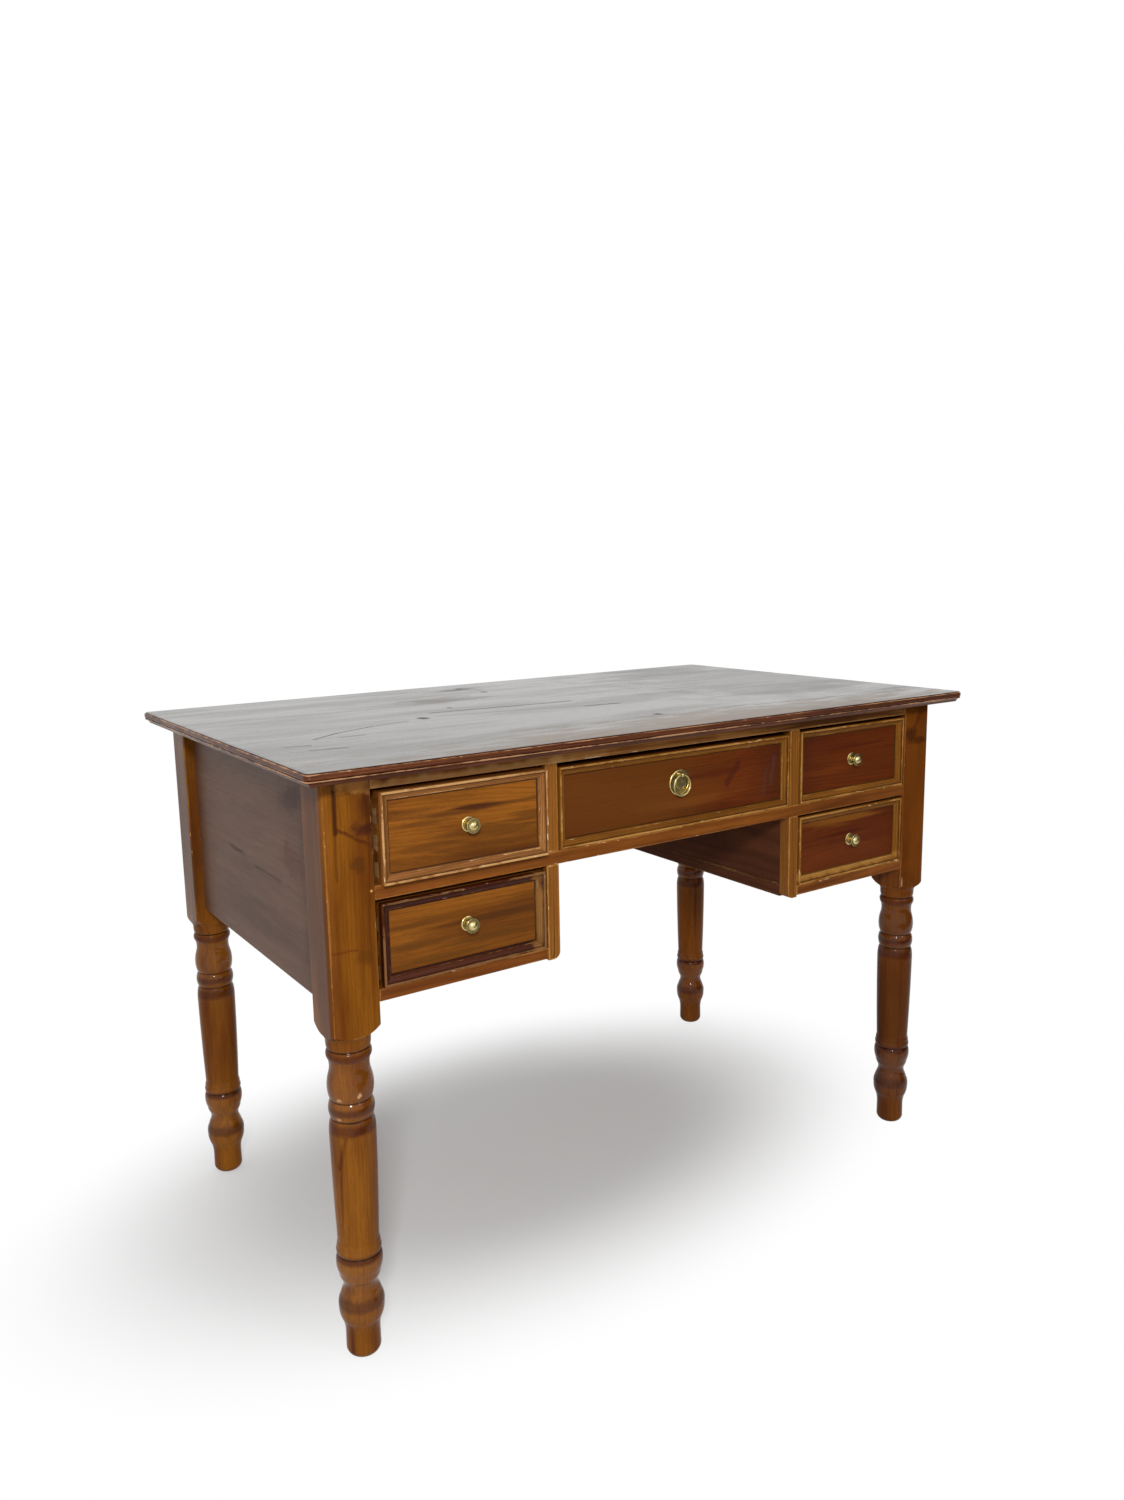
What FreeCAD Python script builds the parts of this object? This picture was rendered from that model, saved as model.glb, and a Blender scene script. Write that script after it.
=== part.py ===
import FreeCAD, Part
import math
import os

# Kneehole writing desk with turned legs and five drawers.
# Frame: +X to the sitter's right, +Y to the back, +Z up, millimetres.
# Origin: on the floor, under the middle of the top.

# ---------------------------------------------------------------------------
# Driving dimensions
# ---------------------------------------------------------------------------

# Overall
desk_height = 780.0
top_length = 1160.0
top_depth = 690.0

# Top: three glued boards with a moulded edge
top_thickness = 17.0
top_corner_radius = 8.0
front_board_width = 227.0
rear_board_width = 227.0

# Moulded edge of the top: inset from the outermost face, drop from the upper face
edge_step_inset = 2.4
edge_step_drop = 1.5
edge_nose_shoulder = 1.1
edge_nose_height = 6.8
edge_quirk_inset = 2.0
edge_bead_height = 3.4
edge_bead_inset = 0.5
edge_cove_inset = 7.4
edge_cove_hollow = 1.1

# Leg posts
post_width = 63.0
side_overhang = 32.0
front_overhang = 40.0
rear_overhang = 38.5
post_corner_radius = 10.0
post_length = 323.0
shoulder_height = 12.0
shoulder_bulge = 2.2

# Turned part of the legs, upper group: drops below the post, radii
collar_radius = 28.5
collar_length = 18.0
collar_end_radius = 28.0
quirk_height = 1.6
upper_quirk_radius = 27.2
upper_bead_radius = 28.8
upper_bead_height = 13.6
upper_bead_end_radius = 26.4
cove_height = 20.3
cove_radius = 25.1
cove_middle_share = 0.45
bulb_top_radius = 27.0
bulb_radius = 29.3
bulb_height = 33.0
bulb_widest_share = 0.47
bulb_end_radius = 26.6
ring_radius = 29.0
ring_height = 19.5
ring_end_radius = 28.3
band_radius = 28.0
band_height = 2.5
shaft_groove_radius = 27.3
shaft_top_radius = 29.6
shaft_shoulder_height = 21.0
shaft_shoulder_swell = 0.5
shaft_swell = 0.5

# Turned part of the legs, lower group: heights above the floor, radii
shaft_end_height = 161.5
shaft_end_radius = 26.3
ankle_ring_top = 154.0
ankle_ring_top_radius = 27.6
ankle_ring_swell = 1.1
ankle_groove_height = 143.0
ankle_groove_radius = 28.1
ankle_belly_top = 139.5
ankle_belly_top_radius = 29.1
ankle_belly_bottom = 117.5
ankle_belly_bottom_radius = 27.2
ankle_belly_swell = 1.6
ankle_neck_height = 99.5
ankle_neck_radius = 22.1
ankle_flare_start_rise = 8.5
ankle_flare_start_radius = 24.4
ankle_bead_top = 83.5
ankle_bead_top_radius = 27.0
ankle_bead_bottom = 69.0
ankle_bead_bottom_radius = 29.4
ankle_bead_swell = 1.0
taper_end_height = 49.5
taper_end_radius = 25.0
taper_swell = 1.2
foot_top_height = 31.0
foot_top_radius = 22.2
foot_top_sink = 0.8
foot_radius = 22.4
foot_round = 12.0
foot_round_swell = 2.6
foot_base_radius = 14.5
slight_swell = 0.5

# Case panels and rails, from the top down
rail_setback = 1.0
rail_depth = 20.0
top_rail_height = 18.0
upper_opening_height = 119.0
mid_rail_height = 18.0
lower_opening_height = 113.5
bottom_rail_height = 15.5
stile_width = 19.0
stile_centre = 226.5
stile_drop = 3.0
stile_corner_radius = 10.0
partition_rail_setback = 1.0
partition_setback = 2.0
panel_drop = 11.0
side_panel_thickness = 16.0
side_panel_recess = 15.0
rear_panel_thickness = 15.0
rear_panel_recess = 7.0

# Wood joints of the case
tongue_thickness = 8.0
tongue_length = 8.0
tenon_thickness = 8.0
tenon_length = 15.0
tenon_shoulder = 3.0
stub_tenon_length = 7.0
joint_gap = 0.2
cut_overrun = 1.0

# Runners, guides and kickers
runner_height = 19.0
runner_reach = 20.0
guide_height = 20.0
kicker_width = 40.0

# Screws that hold the top to the kickers
screw_radius = 2.1
screw_head_radius = 4.2
screw_head_height = 3.0
screw_bite = 11.0
screw_gap = 0.15

# Drawers: old ones that have shrunk, so that each has its own gap above it
drawer_side_gap = 3.5
left_bank_post_gap = 7.5
upper_left_top_gap = 4.0
upper_right_top_gap = 5.0
lower_left_top_gap = 6.5
lower_right_top_gap = 4.5
middle_top_gap = 7.0
drawer_bottom_gap = 0.5
drawer_stop_gap = 0.5
upper_left_stands_out = 10.0
front_thickness = 16.0
side_thickness = 10.0
side_drop = 14.0
back_thickness = 10.0
back_drop = 6.0
back_inset = 4.0
back_housing = 4.0
bottom_thickness = 6.0
bottom_rise = 8.0
bottom_groove = 5.0
dovetail_lap = 5.0
dovetail_count = 3
dovetail_narrow_share = 0.5
dovetail_slope = 10.0
board_gap = 0.1

# Moulding on the drawer fronts: width across the face, height off the board
moulding_width = 13.0
moulding_height = 9.0
moulding_proud = 1.0
moulding_fillet_width = 3.0
moulding_quirk = 1.0
moulding_slope_end = 10.4
moulding_slope_low = 3.4
moulding_slope_sag = 0.9
moulding_bead_height = 1.6
moulding_bead_swell = 0.6

# Turned brass knobs: radii, distances out of the drawer board
knob_off_middle = 4.0
lower_left_knob_rise = 2.5
knob_rosette_radius = 9.8
knob_rosette_rim = 1.2
knob_rosette_step_radius = 6.4
knob_rosette_height = 2.4
knob_neck_radius = 3.4
knob_neck_waist = 2.9
knob_head_start = 9.4
knob_head_radius = 9.4
knob_head_rim = 14.0
knob_head_rim_thickness = 1.5
knob_head_back_swell = 0.8
knob_dome_radius = 6.6
knob_dome_rise = 4.0
brass_edge_swell = 0.5
spindle_radius = 2.5
spindle_hole_gap = 0.15
nut_radius = 5.5
nut_thickness = 3.5

# Ring pull of the middle drawer
pull_rise = 8.0
pull_plate_radius = 19.0
pull_plate_rim = 1.8
pull_plate_rim_width = 2.6
pull_plate_dish = 1.0
pull_boss_radius = 9.0
pull_boss_slope = 1.0
pull_boss_height = 3.2
pull_wire_radius = 1.4
pull_ring_radius = 15.1
pull_eye_play = 0.6
pull_eye_rise = 12.0
pull_ball_radius = 3.3
pull_ball_reach = 6.8
pull_stem_radius = 2.0

# ---------------------------------------------------------------------------
# Places worked out from the driving dimensions
# ---------------------------------------------------------------------------

top_underside = desk_height - top_thickness
post_outer_x = top_length / 2 - side_overhang
post_inner_x = post_outer_x - post_width
post_front_y = -top_depth / 2 + front_overhang
post_rear_y = top_depth / 2 - rear_overhang
leg_x = post_outer_x - post_width / 2
leg_front_y = post_front_y + post_width / 2
leg_rear_y = post_rear_y - post_width / 2
post_bottom = top_underside - post_length

frame_front_y = post_front_y + rail_setback
frame_rear_y = frame_front_y + rail_depth
rear_panel_rear_y = post_rear_y - rear_panel_recess
rear_panel_front_y = rear_panel_rear_y - rear_panel_thickness
side_panel_outer_x = post_outer_x - side_panel_recess
side_panel_inner_x = side_panel_outer_x - side_panel_thickness

stile_inner_x = stile_centre - stile_width / 2
stile_outer_x = stile_centre + stile_width / 2
partition_inner_x = stile_inner_x + partition_setback

top_rail_bottom = top_underside - top_rail_height
mid_rail_top = top_rail_bottom - upper_opening_height
mid_rail_bottom = mid_rail_top - mid_rail_height
bottom_rail_top = mid_rail_bottom - lower_opening_height
bottom_rail_bottom = bottom_rail_top - bottom_rail_height
stile_bottom = bottom_rail_bottom - stile_drop
panel_bottom = bottom_rail_bottom - panel_drop

bank_centre = (post_inner_x + stile_outer_x) / 2
kicker_places = (-bank_centre, 0.0, bank_centre)
front_seam_y = -top_depth / 2 + front_board_width
rear_seam_y = top_depth / 2 - rear_board_width
screw_rows = (
    -top_depth / 2 + front_board_width / 2,
    (front_seam_y + rear_seam_y) / 2,
    top_depth / 2 - rear_board_width / 2,
)

board_face_y = frame_front_y - moulding_proud + moulding_height
board_rear_y = board_face_y + front_thickness
box_rear_y = rear_panel_front_y - drawer_stop_gap


# ---------------------------------------------------------------------------
# Helpers
# ---------------------------------------------------------------------------

def block(x, y, z):
    """Box between two limits on each axis, given in either order."""
    low = FreeCAD.Vector(min(x), min(y), min(z))
    size = [abs(pair[1] - pair[0]) for pair in (x, y, z)]
    return Part.makeBox(size[0], size[1], size[2], low)


def line(start, end):
    """Straight edge between two vectors."""
    return Part.LineSegment(start, end).toShape()


def arc(start, middle, end):
    """Round edge through three vectors."""
    return Part.Arc(start, middle, end).toShape()


def mirrored(shape, side):
    """The shape itself for the right side (+1), its mirror image for the left (-1)."""
    if side > 0:
        return shape
    return shape.mirror(FreeCAD.Vector(0, 0, 0), FreeCAD.Vector(1, 0, 0))


def outline(points, place):
    """Closed wire through (a, b) points; a three-item entry gives an arc's middle first.

    place turns an (a, b) pair into a vector.
    """
    edges = []
    here = place(*points[0])
    for entry in points[1:]:
        if len(entry) == 2:
            there = place(*entry)
            edges.append(line(here, there))
        else:
            middle, end = entry[1], entry[2]
            there = place(*end)
            edges.append(arc(here, place(*middle), there))
        here = there
    edges.append(line(here, place(*points[0])))
    return Part.Wire(edges)


def prism(points, place, direction):
    """Solid made by moving a closed outline along a vector."""
    return Part.Face(outline(points, place)).extrude(direction)


def lathe(points, place, centre, axis):
    """Solid made by turning a closed outline a full turn about an axis."""
    return Part.Face(outline(points, place)).revolve(centre, axis, 360)


def bulge(start, end, depth):
    """Middle point of an arc that stands out to the left of start-end by depth."""
    along_a = end[0] - start[0]
    along_b = end[1] - start[1]
    length = math.hypot(along_a, along_b)
    middle_a = (start[0] + end[0]) / 2 - along_b / length * depth
    middle_b = (start[1] + end[1]) / 2 + along_a / length * depth
    return (middle_a, middle_b)


def round_to(start, end, depth):
    """Arc entry for outline() from start to end."""
    return ("arc", bulge(start, end, depth), end)


def dome_to(foot, rise):
    """Arc entry from a point (radius, height) up to the axis, square to the axis there."""
    sphere = (foot[0] ** 2 + rise ** 2) / (2 * rise)
    half_angle = math.atan2(foot[0], sphere - rise) / 2
    centre = foot[1] + rise - sphere
    middle = (sphere * math.sin(half_angle), centre + sphere * math.cos(half_angle))
    return ("arc", middle, (0.0, foot[1] + rise))


# ---------------------------------------------------------------------------
# Top
# ---------------------------------------------------------------------------

def edge_outline():
    """Half section of the top's edge as (distance from the corner axis, height)."""
    reach = top_corner_radius
    step = desk_height - edge_step_drop
    nose_end = step - edge_nose_height
    bead_end = nose_end - edge_bead_height
    shoulder = (reach - edge_nose_shoulder, step)
    nose_foot = (reach - edge_nose_shoulder, nose_end)
    bead_top = (reach - edge_quirk_inset, nose_end)
    bead_foot = (reach - edge_quirk_inset, bead_end)
    bead_middle = (reach - edge_bead_inset, (nose_end + bead_end) / 2)
    cove_top = (reach - edge_quirk_inset - edge_nose_shoulder, bead_end)
    cove_foot = (reach - edge_cove_inset, top_underside)
    return [
        (0.0, desk_height),
        (reach - edge_step_inset, desk_height),
        (reach - edge_step_inset, step),
        shoulder,
        ("arc", (reach, (step + nose_end) / 2), nose_foot),
        bead_top,
        ("arc", bead_middle, bead_foot),
        cove_top,
        round_to(cove_top, cove_foot, -edge_cove_hollow),
        (0.0, top_underside),
    ]


def edge_corner(side, end):
    """Quarter turn of the edge section at one plan corner of the top."""
    x = side * (top_length / 2 - top_corner_radius)
    y = end * (top_depth / 2 - top_corner_radius)
    centre = FreeCAD.Vector(x, y, 0)
    start = {(1, 1): 0, (-1, 1): 90, (-1, -1): 180, (1, -1): 270}[(side, end)]
    across = FreeCAD.Vector(math.cos(math.radians(start)), math.sin(math.radians(start)), 0)
    place = lambda reach, z: centre + across * reach + FreeCAD.Vector(0, 0, z)
    face = Part.Face(outline(edge_outline(), place))
    return face.revolve(centre, FreeCAD.Vector(0, 0, 1), 90)


def top_board(y, moulded_end):
    """One board of the top; moulded_end is -1 or +1 where its long edge is moulded too, or 0."""
    core_x = top_length / 2 - top_corner_radius
    core_y = top_depth / 2 - top_corner_radius
    y = (max(y[0], -core_y), min(y[1], core_y))
    solids = [block((-core_x, core_x), y, (top_underside, desk_height))]
    for side in (-1, 1):
        place = lambda reach, z: FreeCAD.Vector(side * (core_x + reach), y[0], z)
        solids.append(prism(edge_outline(), place, FreeCAD.Vector(0, y[1] - y[0], 0)))
        if moulded_end:
            solids.append(edge_corner(side, moulded_end))
    if moulded_end:
        place = lambda reach, z: FreeCAD.Vector(-core_x, moulded_end * (core_y + reach), z)
        solids.append(prism(edge_outline(), place, FreeCAD.Vector(2 * core_x, 0, 0)))
    return solids[0].fuse(solids[1:]).removeSplitter()


def screw(radius_extra):
    """Countersunk wood screw standing on z = 0, or its hole when given some play."""
    head = screw_head_radius + radius_extra
    shank = screw_radius + radius_extra
    tip = top_rail_height + screw_bite + radius_extra
    section = [(0.0, 0.0), (head, 0.0), (shank, screw_head_height), (shank, tip), (0.0, tip)]
    up = FreeCAD.Vector(0, 0, 1)
    return lathe(section, lambda a, z: FreeCAD.Vector(a, 0, z), FreeCAD.Vector(0, 0, 0), up)


def at_screws(shape):
    """Copies of a shape at every screw of the top."""
    copies = []
    for x in kicker_places:
        for y in screw_rows:
            copies.append(shape.translated(FreeCAD.Vector(x, y, top_rail_bottom)))
    return copies


def make_top():
    """Three boards side by side, bored from below for the screws."""
    holes = at_screws(screw(screw_gap))
    boards = {
        "top_board_front": top_board((-top_depth / 2, front_seam_y), -1),
        "top_board_middle": top_board((front_seam_y, rear_seam_y), 0),
        "top_board_rear": top_board((rear_seam_y, top_depth / 2), 1),
    }
    return {name: board.cut(holes) for name, board in boards.items()}


# ---------------------------------------------------------------------------
# Legs
# ---------------------------------------------------------------------------

def turning_outline():
    """Half section of the turned part, from the post down to the floor, as (radius, height)."""
    collar_end = post_bottom - collar_length
    bead_top = (upper_quirk_radius, collar_end - quirk_height)
    bead_end = (upper_bead_end_radius, bead_top[1] - upper_bead_height)
    bead_middle = (upper_bead_radius, (bead_top[1] + bead_end[1]) / 2)
    cove_middle = (cove_radius, bead_end[1] - cove_height * cove_middle_share)
    bulb_top = (bulb_top_radius, bead_end[1] - cove_height)
    bulb_middle = (bulb_radius, bulb_top[1] - bulb_height * bulb_widest_share)
    bulb_end = (bulb_end_radius, bulb_top[1] - bulb_height)
    ring_end = (ring_end_radius, bulb_end[1] - ring_height)
    ring_middle = (ring_radius, (bulb_end[1] + ring_end[1]) / 2)
    band_end = (band_radius, ring_end[1] - band_height)
    shaft_groove = (shaft_groove_radius, band_end[1] - quirk_height)
    shaft_top = (shaft_top_radius, shaft_groove[1] - shaft_shoulder_height)
    shaft_end = (shaft_end_radius, shaft_end_height)
    ring_top = (ankle_ring_top_radius, ankle_ring_top)
    groove = (ankle_groove_radius, ankle_groove_height)
    belly_top = (ankle_belly_top_radius, ankle_belly_top)
    belly_bottom = (ankle_belly_bottom_radius, ankle_belly_bottom)
    neck_top = (ankle_flare_start_radius, ankle_neck_height + ankle_flare_start_rise)
    neck_foot = (ankle_flare_start_radius, ankle_neck_height - ankle_flare_start_rise)
    ankle_bead_start = (ankle_bead_top_radius, ankle_bead_top)
    ankle_bead_end = (ankle_bead_bottom_radius, ankle_bead_bottom)
    taper_end = (taper_end_radius, taper_end_height)
    foot_top = (foot_top_radius, foot_top_height)
    foot_side = (foot_radius, foot_round)
    foot_base = (foot_base_radius, 0.0)
    return [
        (0.0, post_bottom + shoulder_height),
        (collar_radius, post_bottom + shoulder_height),
        (collar_radius, post_bottom),
        (collar_end_radius, collar_end),
        bead_top,
        ("arc", bead_middle, bead_end),
        ("arc", cove_middle, bulb_top),
        ("arc", bulb_middle, bulb_end),
        ("arc", ring_middle, ring_end),
        band_end,
        shaft_groove,
        round_to(shaft_groove, shaft_top, shaft_shoulder_swell),
        round_to(shaft_top, shaft_end, shaft_swell),
        round_to(shaft_end, ring_top, slight_swell),
        round_to(ring_top, groove, ankle_ring_swell),
        belly_top,
        round_to(belly_top, belly_bottom, ankle_belly_swell),
        round_to(belly_bottom, neck_top, slight_swell),
        ("arc", (ankle_neck_radius, ankle_neck_height), neck_foot),
        ankle_bead_start,
        round_to(ankle_bead_start, ankle_bead_end, ankle_bead_swell),
        round_to(ankle_bead_end, taper_end, taper_swell),
        round_to(taper_end, foot_top, -foot_top_sink),
        foot_side,
        round_to(foot_side, foot_base, foot_round_swell),
        (0.0, 0.0),
    ]


def leg_at_origin(side, end):
    """One leg about its own axis; side and end say which corner of the desk it stands at."""
    half = post_width / 2
    corner_x = side * half
    corner_y = end * half
    inset_x = corner_x - side * post_corner_radius
    inset_y = corner_y - end * post_corner_radius
    slant = post_corner_radius * math.sqrt(0.5)
    round_middle = (inset_x + side * slant, inset_y + end * slant)
    plan = [
        (-corner_x, -corner_y),
        (corner_x, -corner_y),
        (corner_x, inset_y),
        ("arc", round_middle, (inset_x, corner_y)),
        (-corner_x, corner_y),
    ]
    height = FreeCAD.Vector(0, 0, top_underside - post_bottom)
    post = prism(plan, lambda x, y: FreeCAD.Vector(x, y, post_bottom), height)

    diagonal = half * math.sqrt(2) + cut_overrun
    shoulder_top = (diagonal, post_bottom + shoulder_height)
    shoulder_foot = (half, post_bottom)
    envelope = [
        (0.0, post_bottom),
        shoulder_foot,
        round_to(shoulder_foot, shoulder_top, -shoulder_bulge),
        (diagonal, top_underside),
        (0.0, top_underside),
    ]
    centre = FreeCAD.Vector(0, 0, 0)
    up = FreeCAD.Vector(0, 0, 1)
    place = lambda r, z: FreeCAD.Vector(r, 0, z)
    post = post.common(lathe(envelope, place, centre, up))
    return post.fuse(lathe(turning_outline(), place, centre, up)).removeSplitter()


def make_legs(mortises):
    """Four legs, each cut for what is let into it."""
    ends = {"front": (-1, leg_front_y), "rear": (1, leg_rear_y)}
    sides = {"left": -1, "right": 1}
    legs = {}
    for end_name, (end, y) in ends.items():
        for side_name, side in sides.items():
            leg = leg_at_origin(side, end).translated(FreeCAD.Vector(side * leg_x, y, 0))
            legs["leg_%s_%s" % (end_name, side_name)] = leg.cut(mortises)
    return legs


# ---------------------------------------------------------------------------
# Case: panels, rails, stiles
# ---------------------------------------------------------------------------

def rail_tenon(x, z, extra):
    """Tenon of a front rail, or its mortise when extra is the joint's play."""
    middle = (frame_front_y + frame_rear_y) / 2
    half = tenon_thickness / 2 + extra
    low = min(z) + tenon_shoulder - extra
    high = max(z) - tenon_shoulder + extra
    return block(x, (middle - half, middle + half), (low, high))


def panel_tongue(middle, across, z, thin_axis, extra):
    """Tongue along a panel's edge, or its groove when extra is the joint's play."""
    half = tongue_thickness / 2 + extra
    thin = (middle - half, middle + half)
    if thin_axis == "x":
        return block(thin, across, z)
    return block(across, thin, z)


def front_rail(x, z, tenon_ends):
    """A rail of the front frame between two x limits, with tenons past the given ends."""
    rail = block(x, (frame_front_y, frame_rear_y), z)
    for end, length in tenon_ends:
        rail = rail.fuse(rail_tenon((end, end + length), z, 0.0))
    return rail.removeSplitter()


def make_rails(stile_crossings):
    """Top and middle rails from post to post, and a bottom rail under each bank."""
    full = (-post_inner_x, post_inner_x)
    reach = tenon_length - joint_gap
    stub = stub_tenon_length - joint_gap
    both = ((-post_inner_x, -reach), (post_inner_x, reach))
    rails = {
        "top_rail": front_rail(full, (top_rail_bottom, top_underside), both),
        "middle_rail": front_rail(full, (mid_rail_bottom, mid_rail_top), both),
    }
    rails["middle_rail"] = rails["middle_rail"].cut(stile_crossings)
    low = (bottom_rail_bottom, bottom_rail_top)
    right_ends = ((post_inner_x, reach), (stile_outer_x, -stub))
    right = front_rail((stile_outer_x, post_inner_x), low, right_ends)
    rails["bottom_rail_right"] = right
    rails["bottom_rail_left"] = mirrored(right, -1)
    return rails


def rail_mortises():
    """Mortises for the front rails in the right and left front posts."""
    x = (post_inner_x, post_inner_x + tenon_length)
    levels = (
        (top_rail_bottom, top_underside),
        (mid_rail_bottom, mid_rail_top),
        (bottom_rail_bottom, bottom_rail_top),
    )
    cuts = []
    for z in levels:
        mortise = rail_tenon(x, z, joint_gap)
        cuts += [mortise, mirrored(mortise, -1)]
    return cuts


def stile_crossing(extra):
    """The half of a stile that runs on behind the middle rail."""
    middle = (frame_front_y + frame_rear_y) / 2
    return block(
        (stile_inner_x - extra, stile_outer_x + extra),
        (middle - extra, frame_rear_y),
        (mid_rail_bottom, mid_rail_top),
    )


def make_stile():
    """Right stile: halved over the middle rail, tenoned into the top rail, round at its foot."""
    inner = stile_inner_x
    radius = stile_corner_radius
    slant = radius * (1 - math.sqrt(0.5))
    face = [
        (stile_outer_x, stile_bottom),
        (stile_outer_x, top_rail_bottom),
        (inner, top_rail_bottom),
        (inner, stile_bottom + radius),
        ("arc", (inner + slant, stile_bottom + slant), (inner + radius, stile_bottom)),
    ]
    place = lambda x, z: FreeCAD.Vector(x, frame_front_y, z)
    stile = prism(face, place, FreeCAD.Vector(0, rail_depth, 0))
    depth = (frame_front_y, frame_rear_y)
    rail_run = block((0, post_inner_x), depth, (mid_rail_bottom, mid_rail_top))
    stile = stile.cut(rail_run.cut(stile_crossing(0.0)))
    stile = stile.fuse(stile_head(0.0))
    low = (bottom_rail_bottom, bottom_rail_top)
    socket = rail_tenon((stile_outer_x - stub_tenon_length, stile_outer_x), low, joint_gap)
    return stile.cut(socket).removeSplitter()


def stile_head(extra):
    """Stub tenon on top of the stile, or its mortise in the top rail."""
    middle_y = (frame_front_y + frame_rear_y) / 2
    half_y = tenon_thickness / 2 + extra
    half_x = stile_width / 2 - tenon_shoulder + extra
    return block(
        (stile_centre - half_x, stile_centre + half_x),
        (middle_y - half_y, middle_y + half_y),
        (top_rail_bottom, top_rail_bottom + stub_tenon_length + extra),
    )


def make_side_panel():
    """Right side panel, with a tongue in the front post and one in the rear post."""
    front = post_front_y + post_width
    rear = post_rear_y - post_width
    z = (panel_bottom, top_underside)
    middle = (side_panel_outer_x + side_panel_inner_x) / 2
    panel = block((side_panel_inner_x, side_panel_outer_x), (front, rear), z)
    reach = tongue_length - joint_gap
    edge = panel_tongue(middle, (front - reach, rear + reach), z, "x", 0.0)
    return panel.fuse(edge).removeSplitter()


def make_rear_panel():
    """Rear panel between the rear posts."""
    z = (panel_bottom, top_underside)
    middle = (rear_panel_front_y + rear_panel_rear_y) / 2
    y = (rear_panel_front_y, rear_panel_rear_y)
    panel = block((-post_inner_x, post_inner_x), y, z)
    reach = post_inner_x + tongue_length - joint_gap
    edge = panel_tongue(middle, (-reach, reach), z, "y", 0.0)
    return panel.fuse(edge).removeSplitter()


def panel_grooves():
    """Grooves in the posts for the tongues of the side and rear panels."""
    front = post_front_y + post_width
    rear = post_rear_y - post_width
    z = (panel_bottom - joint_gap, top_underside)
    side_middle = (side_panel_outer_x + side_panel_inner_x) / 2
    rear_middle = (rear_panel_front_y + rear_panel_rear_y) / 2
    side_across = (front - tongue_length, rear + tongue_length)
    rear_reach = post_inner_x + tongue_length
    side_groove = panel_tongue(side_middle, side_across, z, "x", joint_gap)
    rear_groove = panel_tongue(rear_middle, (-rear_reach, rear_reach), z, "y", joint_gap)
    return [side_groove, mirrored(side_groove, -1), rear_groove]


def make_partition():
    """Right wall of the kneehole, from its bottom rail up to the top."""
    x = (partition_inner_x, stile_outer_x)
    y = (frame_rear_y, rear_panel_front_y)
    return block(x, y, (bottom_rail_top, top_underside))


def make_partition_rail():
    """Rail under the right partition, which is also the inner runner of the low drawer."""
    x = (stile_inner_x + partition_rail_setback, stile_outer_x + runner_reach)
    y = (frame_rear_y, rear_panel_front_y)
    return block(x, y, (stile_bottom, bottom_rail_top))


# ---------------------------------------------------------------------------
# Runners, guides, kickers and screws
# ---------------------------------------------------------------------------

def outer_runner(top):
    """Runner along the right side panel, notched round the posts."""
    front = post_front_y + post_width
    rear = post_rear_y - post_width
    z = (top - runner_height, top)
    inner_x = post_inner_x - runner_reach
    strip = block((inner_x, post_inner_x), (frame_rear_y, rear_panel_front_y), z)
    back = block((inner_x, side_panel_inner_x), (front, rear), z)
    return strip.fuse(back).removeSplitter()


def make_runners():
    """Runners of all the drawers, as separate solids."""
    y = (frame_rear_y, rear_panel_front_y)
    z = (mid_rail_top - runner_height, mid_rail_top)
    bank_inner = block((stile_outer_x, stile_outer_x + runner_reach), y, z)
    middle = block((partition_inner_x - runner_reach, partition_inner_x), y, z)
    right = [outer_runner(mid_rail_top), outer_runner(bottom_rail_top), bank_inner, middle]
    return Part.makeCompound(right + [mirrored(runner, -1) for runner in right])


def make_guides():
    """Strips on the outer runners that keep the drawers off the recessed side panels."""
    front = post_front_y + post_width
    rear = post_rear_y - post_width
    guides = []
    for top in (mid_rail_top, bottom_rail_top):
        guide = block((post_inner_x, side_panel_inner_x), (front, rear), (top, top + guide_height))
        guides += [guide, mirrored(guide, -1)]
    return Part.makeCompound(guides)


def make_kickers():
    """A strip over each upper drawer that keeps it from tipping, bored for the top's screws."""
    holes = at_screws(screw(screw_gap))
    y = (frame_rear_y, rear_panel_front_y)
    z = (top_rail_bottom, top_underside)
    kickers = []
    for x in kicker_places:
        strip = block((x - kicker_width / 2, x + kicker_width / 2), y, z)
        kickers += strip.cut(holes).Solids
    return Part.makeCompound(kickers)


# ---------------------------------------------------------------------------
# Drawers
# ---------------------------------------------------------------------------

def dovetails(x, z, extra):
    """Tails at the front end of a drawer side, as solids across its thickness."""
    pitch = (z[1] - z[0]) / dovetail_count
    length = front_thickness - dovetail_lap
    root = pitch * dovetail_narrow_share / 2 + extra
    flare = length * math.tan(math.radians(dovetail_slope))
    tails = []
    for index in range(dovetail_count):
        middle = z[0] + pitch * (index + 0.5)
        tip_y = board_rear_y - length - extra
        face = [
            (board_rear_y, middle - root),
            (board_rear_y, middle + root),
            (tip_y, middle + root + flare),
            (tip_y, middle - root - flare),
        ]
        place = lambda y, height: FreeCAD.Vector(x[0], y, height)
        tails.append(prism(face, place, FreeCAD.Vector(x[1] - x[0], 0, 0)))
    return tails


def moulding_section():
    """Section of the drawer moulding as (distance in from the edge, height off the board)."""
    low = moulding_height - moulding_quirk
    slope_top = (moulding_fillet_width, low)
    slope_end = (moulding_slope_end, moulding_slope_low)
    bead_top = (moulding_slope_end, moulding_bead_height)
    bead_end = (moulding_width, 0.0)
    return [
        (0.0, 0.0),
        (0.0, moulding_height),
        (moulding_fillet_width, moulding_height),
        slope_top,
        round_to(slope_top, slope_end, -moulding_slope_sag),
        bead_top,
        round_to(bead_top, bead_end, moulding_bead_swell),
    ]


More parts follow.
